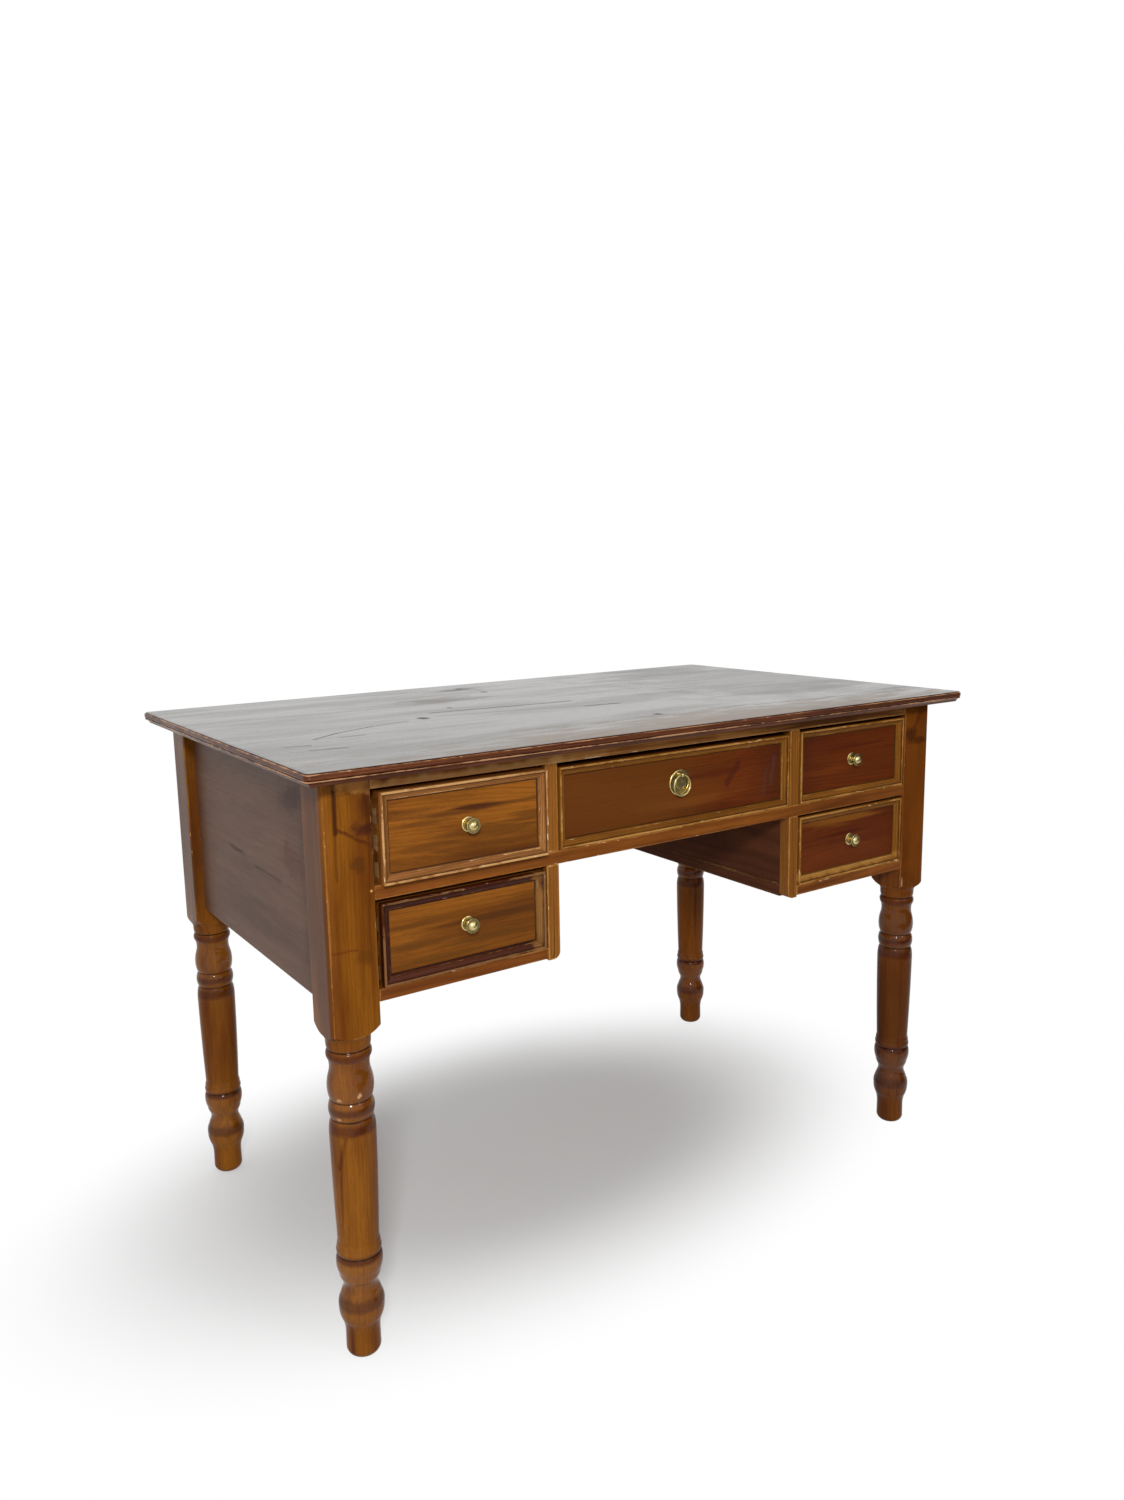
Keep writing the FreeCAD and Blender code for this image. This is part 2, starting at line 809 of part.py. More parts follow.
def make_moulding(x, z):
    """Four mitred lengths round a drawer front."""
    centre = FreeCAD.Vector((x[0] + x[1]) / 2, board_face_y, (z[0] + z[1]) / 2)
    half_x = (x[1] - x[0]) / 2
    half_z = (z[1] - z[0]) / 2
    lengths = []
    for turn, run, rise in ((0, half_x, half_z), (90, half_z, half_x)):
        for flip in (0, 180):
            place = lambda inset, height: FreeCAD.Vector(-run, -height, inset - rise)
            length = prism(moulding_section(), place, FreeCAD.Vector(2 * run, 0, 0))
            inner = run - moulding_width
            mitre = [
                (-run, -rise),
                (run, -rise),
                (inner, moulding_width - rise),
                (-inner, moulding_width - rise),
            ]
            flat = lambda a, b: FreeCAD.Vector(a, -2 * moulding_height, b)
            keep = prism(mitre, flat, FreeCAD.Vector(0, 2 * moulding_height, 0))
            piece = length.common(keep)
            piece.rotate(FreeCAD.Vector(0, 0, 0), FreeCAD.Vector(0, 1, 0), turn + flip)
            lengths.append(piece.translated(centre))
    return Part.makeCompound(lengths)


def turned_on_front(section, centre):
    """Brass turning on a drawer front; section is (radius, distance out of the board)."""
    place = lambda r, out: centre + FreeCAD.Vector(r, -out, 0)
    return lathe(section, place, centre, FreeCAD.Vector(0, 1, 0))


def spindle_hole(centre):
    """Hole through the drawer board for a knob's spindle."""
    radius = spindle_radius + spindle_hole_gap
    depth = front_thickness + 2 * cut_overrun
    start = centre - FreeCAD.Vector(0, cut_overrun, 0)
    return Part.makeCylinder(radius, depth, start, FreeCAD.Vector(0, 1, 0))


def make_nut(centre):
    """Round nut behind the drawer board."""
    inner = spindle_radius + spindle_hole_gap
    near = -front_thickness
    far = near - nut_thickness
    section = [(inner, near), (nut_radius, near), (nut_radius, far), (inner, far)]
    return turned_on_front(section, centre)


def make_knob(centre):
    """Mushroom knob with a spindle, and its nut as a second solid."""
    tail = -front_thickness - nut_thickness
    head_start = (knob_neck_radius, knob_head_start)
    rim_back = (knob_head_radius, knob_head_rim - knob_head_rim_thickness)
    rim_front = (knob_head_radius, knob_head_rim)
    dome_foot = (knob_dome_radius, knob_head_rim)
    neck_foot = (knob_neck_radius, knob_rosette_height)
    waist = (knob_neck_waist, (knob_rosette_height + knob_head_start) / 2)
    section = [
        (0.0, tail),
        (spindle_radius, tail),
        (spindle_radius, knob_rosette_height),
        neck_foot,
        ("arc", waist, head_start),
        round_to(head_start, rim_back, -knob_head_back_swell),
        round_to(rim_back, rim_front, -brass_edge_swell),
        dome_foot,
        dome_to(dome_foot, knob_dome_rise),
    ]
    return Part.makeCompound([turned_on_front(section, centre), make_nut(centre)])


def make_rosette(centre):
    """Stepped round plate under a knob."""
    inner = spindle_radius + spindle_hole_gap
    step = (knob_rosette_step_radius, knob_rosette_height)
    foot = (knob_rosette_step_radius, knob_rosette_rim)
    rim = (knob_rosette_radius, knob_rosette_rim / 2)
    section = [
        (inner, 0.0),
        (knob_rosette_radius, 0.0),
        rim,
        round_to(rim, foot, -brass_edge_swell),
        step,
        (inner, knob_rosette_height),
    ]
    return turned_on_front(section, centre)


def make_drawer(name, x, z, stands_out):
    """Every wooden piece of one drawer between its limits, and the middle of its board."""
    side_z = (z[0], z[1] - side_drop)
    inner_x = (x[0] + side_thickness, x[1] - side_thickness)
    centre = FreeCAD.Vector((x[0] + x[1]) / 2, board_face_y, (z[0] + z[1]) / 2)
    panel_z = (z[0] + bottom_rise, z[0] + bottom_rise + bottom_thickness)
    groove_z = (panel_z[0] - board_gap, panel_z[1] + board_gap)
    back_y = (box_rear_y - back_inset - back_thickness, box_rear_y - back_inset)

    front_groove = block(
        inner_x, (board_rear_y - bottom_groove - board_gap, board_rear_y), groove_z)
    front = block(x, (board_face_y, board_rear_y), z).cut(front_groove)

    sides = []
    for near, far in ((x[0], inner_x[0]), (x[1], inner_x[1])):
        toward = math.copysign(1.0, far - near)
        tails = dovetails((near, far), side_z, 0.0)
        front = front.cut(dovetails((near, far + toward * board_gap), side_z, board_gap))
        plank = block((near, far), (board_rear_y, box_rear_y), side_z)
        floor_groove = block(
            (far - toward * (bottom_groove + board_gap), far), (board_rear_y, box_rear_y), groove_z)
        housing = block(
            (far - toward * back_housing, far),
            (back_y[0] - board_gap, back_y[1] + board_gap),
            (panel_z[1], side_z[1]))
        plank = plank.fuse(tails).cut([floor_groove, housing])
        sides.append(plank.removeSplitter())

    bottom_x = (inner_x[0] - bottom_groove, inner_x[1] + bottom_groove)
    bottom = block(bottom_x, (board_rear_y, box_rear_y), panel_z)
    bottom = bottom.fuse(block(inner_x, (board_rear_y - bottom_groove, board_rear_y), panel_z))
    back_x = (inner_x[0] - back_housing + board_gap, inner_x[1] + back_housing - board_gap)
    back = block(back_x, back_y, (panel_z[1] + board_gap, side_z[1] - back_drop))

    pieces = {
        "front": front,
        "moulding": make_moulding(x, z),
        "sides": Part.makeCompound(sides),
        "back": back,
        "bottom": bottom.removeSplitter(),
    }
    shift = FreeCAD.Vector(0, -stands_out, 0)
    named = {}
    for piece, shape in pieces.items():
        named["%s_%s" % (name, piece)] = shape.translated(shift)
    return named, centre + shift


# ---------------------------------------------------------------------------
# Ring pull
# ---------------------------------------------------------------------------

def pull_axis(centre):
    """Middle of the eye that the ring hangs in."""
    return centre + FreeCAD.Vector(0, -pull_ball_reach, pull_eye_rise)


def pull_hole(centre):
    """Hole through the plate and the drawer board for the eye's stem."""
    radius = pull_stem_radius + spindle_hole_gap
    depth = pull_boss_height + front_thickness + 2 * cut_overrun
    start = centre + FreeCAD.Vector(0, -pull_boss_height - cut_overrun, pull_eye_rise)
    return Part.makeCylinder(radius, depth, start, FreeCAD.Vector(0, 1, 0))


def make_pull_plate(centre):
    """Stepped plate with a raised rim and a middle boss, bored for the stem."""
    rim_inner = pull_plate_radius - pull_plate_rim_width
    rim_foot = (pull_plate_radius, pull_plate_rim / 2)
    rim_top = (rim_inner, pull_plate_rim)
    boss_edge = (pull_boss_radius, pull_plate_rim)
    boss_top = (pull_boss_radius - pull_boss_slope, pull_boss_height)
    section = [
        (0.0, 0.0),
        (pull_plate_radius, 0.0),
        rim_foot,
        round_to(rim_foot, rim_top, -brass_edge_swell),
        (rim_inner, pull_plate_dish),
        (pull_boss_radius, pull_plate_dish),
        boss_edge,
        round_to(boss_edge, boss_top, -brass_edge_swell),
        (0.0, pull_boss_height),
    ]
    return turned_on_front(section, centre).cut(pull_hole(centre))


def make_pull_eye(centre):
    """Ball with an eye, on a stem through the plate and the board, and a nut as a second solid."""
    eye = pull_axis(centre)
    back = FreeCAD.Vector(0, 1, 0)
    across = FreeCAD.Vector(1, 0, 0)
    stem_length = pull_ball_reach + front_thickness + nut_thickness
    bore_radius = pull_wire_radius + pull_eye_play
    bore_start = eye - FreeCAD.Vector(pull_ball_radius, 0, 0)
    bore = Part.makeCylinder(bore_radius, 2 * pull_ball_radius, bore_start, across)
    ball = Part.makeSphere(pull_ball_radius, eye)
    stem = Part.makeCylinder(pull_stem_radius, stem_length, eye, back)
    nut_start = eye + FreeCAD.Vector(0, pull_ball_reach + front_thickness, 0)
    nut = Part.makeCylinder(nut_radius, nut_thickness, nut_start, back)
    nut_bore = Part.makeCylinder(pull_stem_radius + spindle_hole_gap, nut_thickness, nut_start, back)
    return Part.makeCompound([ball.fuse(stem).cut(bore), nut.cut(nut_bore)])


def make_pull_ring(centre):
    """Ring hanging from the eye."""
    middle = pull_axis(centre) - FreeCAD.Vector(0, 0, pull_ring_radius)
    return Part.makeTorus(pull_ring_radius, pull_wire_radius, middle, FreeCAD.Vector(0, 1, 0))


# ---------------------------------------------------------------------------
# Assembly
# ---------------------------------------------------------------------------

def make_case():
    """Every fixed piece of the desk."""
    crossing = stile_crossing(0.0)
    head_mortise = stile_head(joint_gap)
    nodes = make_top()
    nodes.update(make_legs(rail_mortises() + panel_grooves()))
    nodes.update(make_rails([crossing, mirrored(crossing, -1)]))
    nodes["top_rail"] = nodes["top_rail"].cut([head_mortise, mirrored(head_mortise, -1)])
    nodes["rear_panel"] = make_rear_panel()
    nodes["drawer_runners"] = make_runners()
    nodes["drawer_guides"] = make_guides()
    nodes["drawer_kickers"] = make_kickers()
    nodes["top_screws"] = Part.makeCompound(at_screws(screw(0.0)))
    paired = {
        "side_panel": make_side_panel(),
        "stile": make_stile(),
        "partition": make_partition(),
        "partition_rail": make_partition_rail(),
    }
    for name, shape in paired.items():
        nodes[name + "_right"] = shape
        nodes[name + "_left"] = mirrored(shape, -1)
    return nodes


def make_drawers():
    """Five drawers: two in each bank and a wide one over the kneehole."""
    upper = mid_rail_top + drawer_bottom_gap
    lower = bottom_rail_top + drawer_bottom_gap
    left = (-post_inner_x + left_bank_post_gap, -stile_outer_x - drawer_side_gap)
    right = (stile_outer_x + drawer_side_gap, post_inner_x - drawer_side_gap)
    banks = (
        ("drawer_upper_left", left, (upper, top_rail_bottom - upper_left_top_gap)),
        ("drawer_lower_left", left, (lower, mid_rail_bottom - lower_left_top_gap)),
        ("drawer_upper_right", right, (upper, top_rail_bottom - upper_right_top_gap)),
        ("drawer_lower_right", right, (lower, mid_rail_bottom - lower_right_top_gap)),
    )
    stands_out = {"drawer_upper_left": upper_left_stands_out}
    knob_rise = {"drawer_lower_left": lower_left_knob_rise}
    nodes = {}
    for name, x, z in banks:
        pieces, centre = make_drawer(name, x, z, stands_out.get(name, 0.0))
        knob_place = centre + FreeCAD.Vector(knob_off_middle, 0, knob_rise.get(name, 0.0))
        pieces[name + "_front"] = pieces[name + "_front"].cut(spindle_hole(knob_place))
        pieces[name + "_knob"] = make_knob(knob_place)
        pieces[name + "_rosette"] = make_rosette(knob_place)
        nodes.update(pieces)

    name = "drawer_middle"
    x = (-stile_inner_x + drawer_side_gap, stile_inner_x - drawer_side_gap)
    pieces, centre = make_drawer(name, x, (upper, top_rail_bottom - middle_top_gap), 0.0)
    pull_place = centre + FreeCAD.Vector(0, 0, pull_rise)
    pieces[name + "_front"] = pieces[name + "_front"].cut(pull_hole(pull_place))
    nodes.update(pieces)
    nodes["pull_plate"] = make_pull_plate(pull_place)
    nodes["pull_eye"] = make_pull_eye(pull_place)
    nodes["pull_ring"] = make_pull_ring(pull_place)
    return nodes


nodes = make_case()
nodes.update(make_drawers())

os.makedirs("parts", exist_ok=True)
for name, shape in sorted(nodes.items()):
    shape.exportStep("parts/%s.step" % name)
print("%d nodes written" % len(nodes))
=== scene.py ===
# %% [markdown]
# # An old kneehole writing desk
#
# The desk stands on four turned legs and holds five drawers, two on each side and a wide one
# over the sitter's knees. It is soft wood under an old orange-brown varnish, with brass knobs
# and one brass ring pull. This lesson dresses the packed model of the desk. Most wooden
# pieces are made again as worn boards, mouldings and turnings. The drawer boxes, the screws
# and the brass keep their packed shape and get a finish of their own.

# %% Load the packed desk
import math

import bmesh
import bpy
import numpy as np
from mathutils import Matrix, Vector


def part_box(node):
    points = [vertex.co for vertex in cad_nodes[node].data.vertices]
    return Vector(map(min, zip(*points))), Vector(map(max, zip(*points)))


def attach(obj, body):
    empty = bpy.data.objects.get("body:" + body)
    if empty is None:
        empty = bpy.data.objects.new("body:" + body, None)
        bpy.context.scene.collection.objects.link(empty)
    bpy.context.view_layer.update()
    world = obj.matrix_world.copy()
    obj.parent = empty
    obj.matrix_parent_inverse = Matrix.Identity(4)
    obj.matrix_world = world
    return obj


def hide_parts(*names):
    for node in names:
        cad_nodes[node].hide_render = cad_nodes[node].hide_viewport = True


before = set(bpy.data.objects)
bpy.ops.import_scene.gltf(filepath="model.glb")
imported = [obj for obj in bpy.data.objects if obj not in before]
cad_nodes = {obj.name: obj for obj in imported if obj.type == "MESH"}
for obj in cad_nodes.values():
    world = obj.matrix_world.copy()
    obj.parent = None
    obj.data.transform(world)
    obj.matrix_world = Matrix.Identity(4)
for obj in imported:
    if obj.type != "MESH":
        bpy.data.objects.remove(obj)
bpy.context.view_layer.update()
scene = bpy.context.scene
scene.view_settings.view_transform = "Standard"

# %% [markdown]
# ## Where the desk is seen from
#
# The viewer stands in front of the desk's left end, at eye height, and looks slightly down.
# A camera's turn is three directions: its right, its up, and the way it looks, reversed.
# Working these out from yaw, pitch and roll keeps each number readable.

# %% Camera
MM = 0.001
camera_place = Vector((-1.0262, -1.5039, 1.0082))
camera_yaw = math.radians(-34.26)
camera_pitch = math.radians(-9.64)
camera_roll = math.radians(-1.02)
sensor_height_mm = 36.0
lens_mm = 26.775


def camera_turn(yaw, pitch, roll):
    """Right, up and backward directions as the columns of a turn.

    Forward is level, turned by yaw, then tipped by pitch. Up is square to forward and right,
    and roll turns right and up about forward.
    """
    forward = Vector((-math.sin(yaw) * math.cos(pitch), math.cos(yaw) * math.cos(pitch), math.sin(pitch)))
    level = Vector((math.cos(yaw), math.sin(yaw), 0.0))
    upright = level.cross(forward)
    right = math.cos(roll) * level + math.sin(roll) * upright
    up = math.cos(roll) * upright - math.sin(roll) * level
    return Matrix((right, up, -forward)).transposed().to_4x4()


camera_data = bpy.data.cameras.new("view")
camera_data.sensor_fit = "VERTICAL"
camera_data.sensor_height = sensor_height_mm
camera_data.lens = lens_mm
camera = bpy.data.objects.new("view", camera_data)
camera.matrix_world = Matrix.Translation(camera_place) @ camera_turn(camera_yaw, camera_pitch, camera_roll)
scene.collection.objects.link(camera)
scene.camera = camera
print("camera at", tuple(round(x, 3) for x in camera.location), "lens", lens_mm)

# %% [markdown]
# ## Adding nodes in few words
#
# A finish is a chain of nodes. One small helper adds a node and fills its inputs, each with a
# plain value or with the output that feeds it, so that a chain reads from top to bottom.

# %% Node helpers


def add(tree, kind, inputs=None, **settings):
    """A new shader node; each input is given a plain value or the output that feeds it."""
    made = tree.nodes.new("ShaderNode" + kind)
    for name, value in settings.items():
        setattr(made, name, value)
    for name, value in (inputs or {}).items():
        if isinstance(value, bpy.types.NodeSocket):
            tree.links.new(value, made.inputs[name])
        else:
            made.inputs[name].default_value = value
    return made


def maths(tree, operation, *values, clamp=False):
    """One step of arithmetic on numbers."""
    inputs = dict(enumerate(values))
    return add(tree, "Math", inputs, operation=operation, use_clamp=clamp).outputs[0]


def vector_maths(tree, operation, *values):
    """One step of arithmetic on vectors; LENGTH gives a number."""
    made = add(tree, "VectorMath", dict(enumerate(values)), operation=operation)
    return made.outputs["Value" if operation in ("LENGTH", "DOT_PRODUCT") else "Vector"]


def scaled(tree, vector, factor):
    """The vector times a number."""
    return add(tree, "VectorMath", {0: vector, "Scale": factor}, operation="SCALE").outputs["Vector"]


def blend_colours(tree, share, first, second):
    """The first colour, going over to the second as share goes from 0 to 1."""
    made = add(tree, "Mix", {0: share, 6: first, 7: second}, data_type="RGBA")
    return made.outputs[2]


def between(tree, value, low, high):
    """0 below low and 1 above high, with a smooth rise between them."""
    inputs = {"Value": value, "From Min": low, "From Max": high}
    return add(tree, "MapRange", inputs, interpolation_type="SMOOTHSTEP").outputs["Result"]


def mottle(tree, place, stretch, detail=2.0, roughness=0.5, colour=False):
    """Noise with so many lumps to the metre along each axis."""
    stretched = vector_maths(tree, "MULTIPLY", place, stretch)
    inputs = {"Vector": stretched, "Scale": 1.0, "Detail": detail, "Roughness": roughness}
    made = add(tree, "TexNoise", inputs)
    return made.outputs["Color" if colour else "Fac"]


def paint(code):
    """Linear colour of a six-digit screen colour, as a Blender colour with full alpha."""
    screen = np.array([int(code[i:i + 2], 16) for i in (0, 2, 4)]) / 255
    linear = np.where(screen <= 0.04045, screen / 12.92, ((screen + 0.055) / 1.055) ** 2.4)
    return (*linear.tolist(), 1.0)


print("orange-brown varnish as Blender counts it:", [round(x, 3) for x in paint("945620")])

# %% [markdown]
# ## A pale studio
#
# The desk stands on a plain white floor in soft light from in front. The surroundings are
# plain white to the camera and to anything shiny, but give the desk only a moderate light.

# %% Surroundings
ambient_strength = 0.62


def seen_or_mirrored(tree):
    """1 for rays from the camera, and for rays that a shiny or clear surface sends on."""
    rays = add(tree, "LightPath").outputs
    either = maths(tree, "MAXIMUM", rays["Is Camera Ray"], rays["Is Glossy Ray"])
    return maths(tree, "MAXIMUM", either, rays["Is Transmission Ray"])


world = bpy.data.worlds.new("studio")
world.use_nodes = True
scene.world = world
sky = world.node_tree
sky.nodes.clear()
seen = seen_or_mirrored(sky)
rise = maths(sky, "MULTIPLY_ADD", seen, 1.0 - ambient_strength, ambient_strength)
backdrop = add(sky, "Background", {"Color": (1.0, 1.0, 1.0, 1.0), "Strength": rise})
add(sky, "OutputWorld", {"Surface": backdrop.outputs[0]})
print("surroundings:", ambient_strength, "for light, 1 for the eye")

# %% [markdown]
# The floor keeps the desk's broad, soft shadow and fades into the white away from it. Near the
# desk it is a plain pale surface, and further out it glows white to the camera. How far a point
# is from the desk is measured with the floor squeezed, so that the shadow's reach is an oval.

# %% Floor
floor_half = 9.0
floor_colour = (0.70, 0.70, 0.70, 1.0)
shadow_middle = (-0.10, 0.06, 0.0)
shadow_reach = (0.87, 0.52, 1.0)
shadow_core = 0.35


def studio_sheet(name, corners):
    """A flat sheet of the studio between four corners."""
    mesh = bpy.data.meshes.new(name)
    mesh.from_pydata(corners, [], [(0, 1, 2, 3)])
    sheet = bpy.data.objects.new(name, mesh)
    scene.collection.objects.link(sheet)
    return sheet


floor_corners = [(x * floor_half, y * floor_half, 0.0) for x, y in ((-1, -1), (1, -1), (1, 1), (-1, 1))]
floor = studio_sheet("studio_floor", floor_corners)
floor_finish = bpy.data.materials.new("white_floor")
floor_finish.use_nodes = True
tree = floor_finish.node_tree
tree.nodes.clear()
place = add(tree, "TexCoord").outputs["Object"]
offset = vector_maths(tree, "SUBTRACT", place, shadow_middle)
away = vector_maths(tree, "LENGTH", vector_maths(tree, "DIVIDE", offset, shadow_reach))
fade = between(tree, away, shadow_core, 1.0)
near = add(tree, "BsdfDiffuse", {"Color": floor_colour}).outputs[0]
far = add(tree, "Emission", {"Color": (1.0, 1.0, 1.0, 1.0)}).outputs[0]
share = maths(tree, "MULTIPLY", fade, seen_or_mirrored(tree))
mixed = add(tree, "MixShader", {0: share, 1: near, 2: far})
add(tree, "OutputMaterial", {"Surface": mixed.outputs[0]})
floor.data.materials.append(floor_finish)
print("floor:", 2 * floor_half, "metres wide")

# %% [markdown]
# A black cloth lies in front of the desk's right half, and a black screen stands beyond it,
# both out of view. Varnish mirrors what lies in front of it, and with these in place the
# drawer fronts show their own deep colour instead of a milky veil. The screen also keeps some
# light off the right end. The camera itself doesn't see them.

# %% Black cloth and screen
black_cloth = [(-0.35, -4.0, 0.003), (4.5, -4.0, 0.003), (4.5, -1.05, 0.003), (-0.35, -1.05, 0.003)]
black_screen = [(1.7, -3.2, 0.0), (3.1, -0.3, 0.0), (3.1, -0.3, 1.9), (1.7, -3.2, 1.9)]
black_finish = bpy.data.materials.new("black_cloth")
black_finish.use_nodes = True
black_shader = black_finish.node_tree.nodes["Principled BSDF"]
black_shader.inputs["Base Color"].default_value = (0.01, 0.01, 0.01, 1.0)
black_shader.inputs["Specular IOR Level"].default_value = 0.0
for name, corners in (("black_cloth", black_cloth), ("black_screen", black_screen)):
    sheet = studio_sheet(name, corners)
    sheet.visible_camera = False
    sheet.data.materials.append(black_finish)
    print(name, "from", corners[0], "to", corners[2])

# %% [markdown]
# Two soft lamps stand in front of the desk like two windows. The small strong one at the left
# lights the front and gives the turned rings their highlights. The large weak one further right
# fills the shadows.

# %% Lamps


def soft_lamp(name, place, towards, width, watts):
    """A square lamp of that width, turned to shine at a point."""
    data = bpy.data.lights.new(name, "AREA")
    data.shape = "SQUARE"
    data.size = width
    data.energy = watts
    lamp = bpy.data.objects.new(name, data)
    aim = Vector(towards) - Vector(place)
    lamp.matrix_world = Matrix.Translation(place) @ aim.to_track_quat("-Z", "Y").to_matrix().to_4x4()
    scene.collection.objects.link(lamp)
    return lamp


desk_middle = (0.0, 0.0, 0.6)
soft_lamp("window_left", (-1.5, -2.3, 1.9), desk_middle, 0.35, 44.0)
soft_lamp("window_right", (0.9, -3.4, 2.5), desk_middle, 0.8, 9.0)

# %% [markdown]
# ## What wood looks like inside
#
# A tree grows a ring a year round its middle, the pith, so a board shows slices of rings:
# nearly straight lines where it was cut across them and long arches where it was cut along
# them. The figure below measures how far each point of the board is from the pith and turns
# that distance into rings. The pith wanders slowly along the trunk, which bends the lines.
# Fibres, pores and dark mineral streaks are noise drawn out along the grain. Each board
# brings its own place in the trunk as an attribute, so that no two boards look the same.

# %% Wood figure
ring_wobble = 0.004
ring_bunching = 2.5
ring_sharpness = 1.8


def drawn_out(along, across):
    """So many lumps to the metre along the grain, and so many across it."""
    return (along, across, across)


def new_group(name, inputs, outputs):
    """An empty node group with named sockets, its input node's outputs and its output node."""
    group = bpy.data.node_groups.new(name, "ShaderNodeTree")
    for label, value in inputs.items():
        kind = "NodeSocketFloat"
        if isinstance(value, tuple):
            kind = "NodeSocketColor" if len(value) == 4 else "NodeSocketVector"
        socket = group.interface.new_socket(label, in_out="INPUT", socket_type=kind)
        socket.default_value = value
    for label, kind in outputs.items():
        group.interface.new_socket(label, in_out="OUTPUT", socket_type="NodeSocket" + kind)
    return group, group.nodes.new("NodeGroupInput").outputs, group.nodes.new("NodeGroupOutput").inputs


def make_wood_figure():
    """Rings, fibres, pores, clouds and dark streaks of a board, each from 0 to 1.

    Years are the distance from the drifting pith over the ring width, bunched up by slow noise.
    A ring is half of one plus the sine of tau times the years, to the power of ring_sharpness.
    """
    inputs = {"Grain": (0.0, 0.0, 0.0), "Ring Width": 0.005, "Wander": 0.015}
    outputs = dict.fromkeys(("Rings", "Fibre", "Pores", "Clouds", "Streaks"), "Float")
    group, given, result = new_group("wood_figure", inputs, outputs)
    grain = given["Grain"]
    drift = mottle(group, grain, drawn_out(1.6, 7.0), colour=True)
    drift = vector_maths(group, "SUBTRACT", drift, (0.5, 0.5, 0.5))
    drift = vector_maths(group, "MULTIPLY", drift, (0.0, 2.0, 2.0))
    bent = vector_maths(group, "ADD", grain, scaled(group, drift, given["Wander"]))
    away = vector_maths(group, "LENGTH", vector_maths(group, "MULTIPLY", bent, (0.0, 1.0, 1.0)))
    wobble = mottle(group, bent, drawn_out(6.0, 60.0))
    away = maths(group, "MULTIPLY_ADD", wobble, ring_wobble, away)
    years = maths(group, "DIVIDE", away, given["Ring Width"])
    slow = add(group, "TexNoise", {"W": years, "Scale": 0.35, "Detail": 1.0}, noise_dimensions="1D")
    years = maths(group, "MULTIPLY_ADD", slow.outputs["Fac"], ring_bunching, years)
    wave = maths(group, "SINE", maths(group, "MULTIPLY", years, math.tau))
    wave = maths(group, "MULTIPLY_ADD", wave, 0.5, 0.5)
    group.links.new(maths(group, "POWER", wave, ring_sharpness), result["Rings"])
    group.links.new(mottle(group, bent, drawn_out(14.0, 800.0), 3.0, 0.6), result["Fibre"])
    dashes = mottle(group, bent, drawn_out(50.0, 2000.0), 1.0)
    group.links.new(between(group, dashes, 0.60, 0.72), result["Pores"])
    group.links.new(mottle(group, bent, drawn_out(3.0, 18.0), 3.0, 0.55), result["Clouds"])
    streak = mottle(group, bent, drawn_out(2.2, 42.0), 3.0, 0.55)
    group.links.new(between(group, streak, 0.54, 0.74), result["Streaks"])
    return group


wood_figure = make_wood_figure()
print("wood figure:", len(wood_figure.nodes), "nodes")

# %% [markdown]
# ## Varnish, wear and dirt
#
# The old varnish is darkest in the rings and streaks. Hands and brooms have rubbed it thin
# along the edges, where pale wood comes through in patches, and dirt has settled in the
# grooves. Each of these is one group of nodes, so every finish uses the same wear with its
# own strength.

# %% Colour, wear and dirt
fibre_strength = 0.30
pore_strength = 0.45


def make_varnish():
    """Colour of varnished wood: light to middle in clouds, darkened by rings, fibre, streaks and pores."""
    inputs = {"Rings": 0.0, "Fibre": 0.5, "Pores": 0.0, "Clouds": 0.5, "Streaks": 0.0}
    inputs.update({"Light": (1.0,) * 4, "Middle": (0.5,) * 4, "Dark": (0.0,) * 4})
    inputs.update({"Streak Colour": (0.0,) * 4, "Ring Strength": 0.6, "Streak Strength": 0.5})
    group, given, result = new_group("varnish", inputs, {"Colour": "Color"})
    cloud = between(group, given["Clouds"], 0.32, 0.68)
    colour = blend_colours(group, cloud, given["Light"], given["Middle"])
    ring = maths(group, "MULTIPLY", given["Rings"], given["Ring Strength"])
    colour = blend_colours(group, ring, colour, given["Dark"])
    fibre = between(group, given["Fibre"], 0.35, 0.75)
    colour = blend_colours(group, maths(group, "MULTIPLY", fibre, fibre_strength), colour, given["Dark"])
    streak = maths(group, "MULTIPLY", given["Streaks"], given["Streak Strength"])
    colour = blend_colours(group, streak, colour, given["Streak Colour"])
    pore = maths(group, "MULTIPLY", given["Pores"], pore_strength)
    colour = blend_colours(group, pore, colour, given["Streak Colour"])
    group.links.new(colour, result["Colour"])
    return group


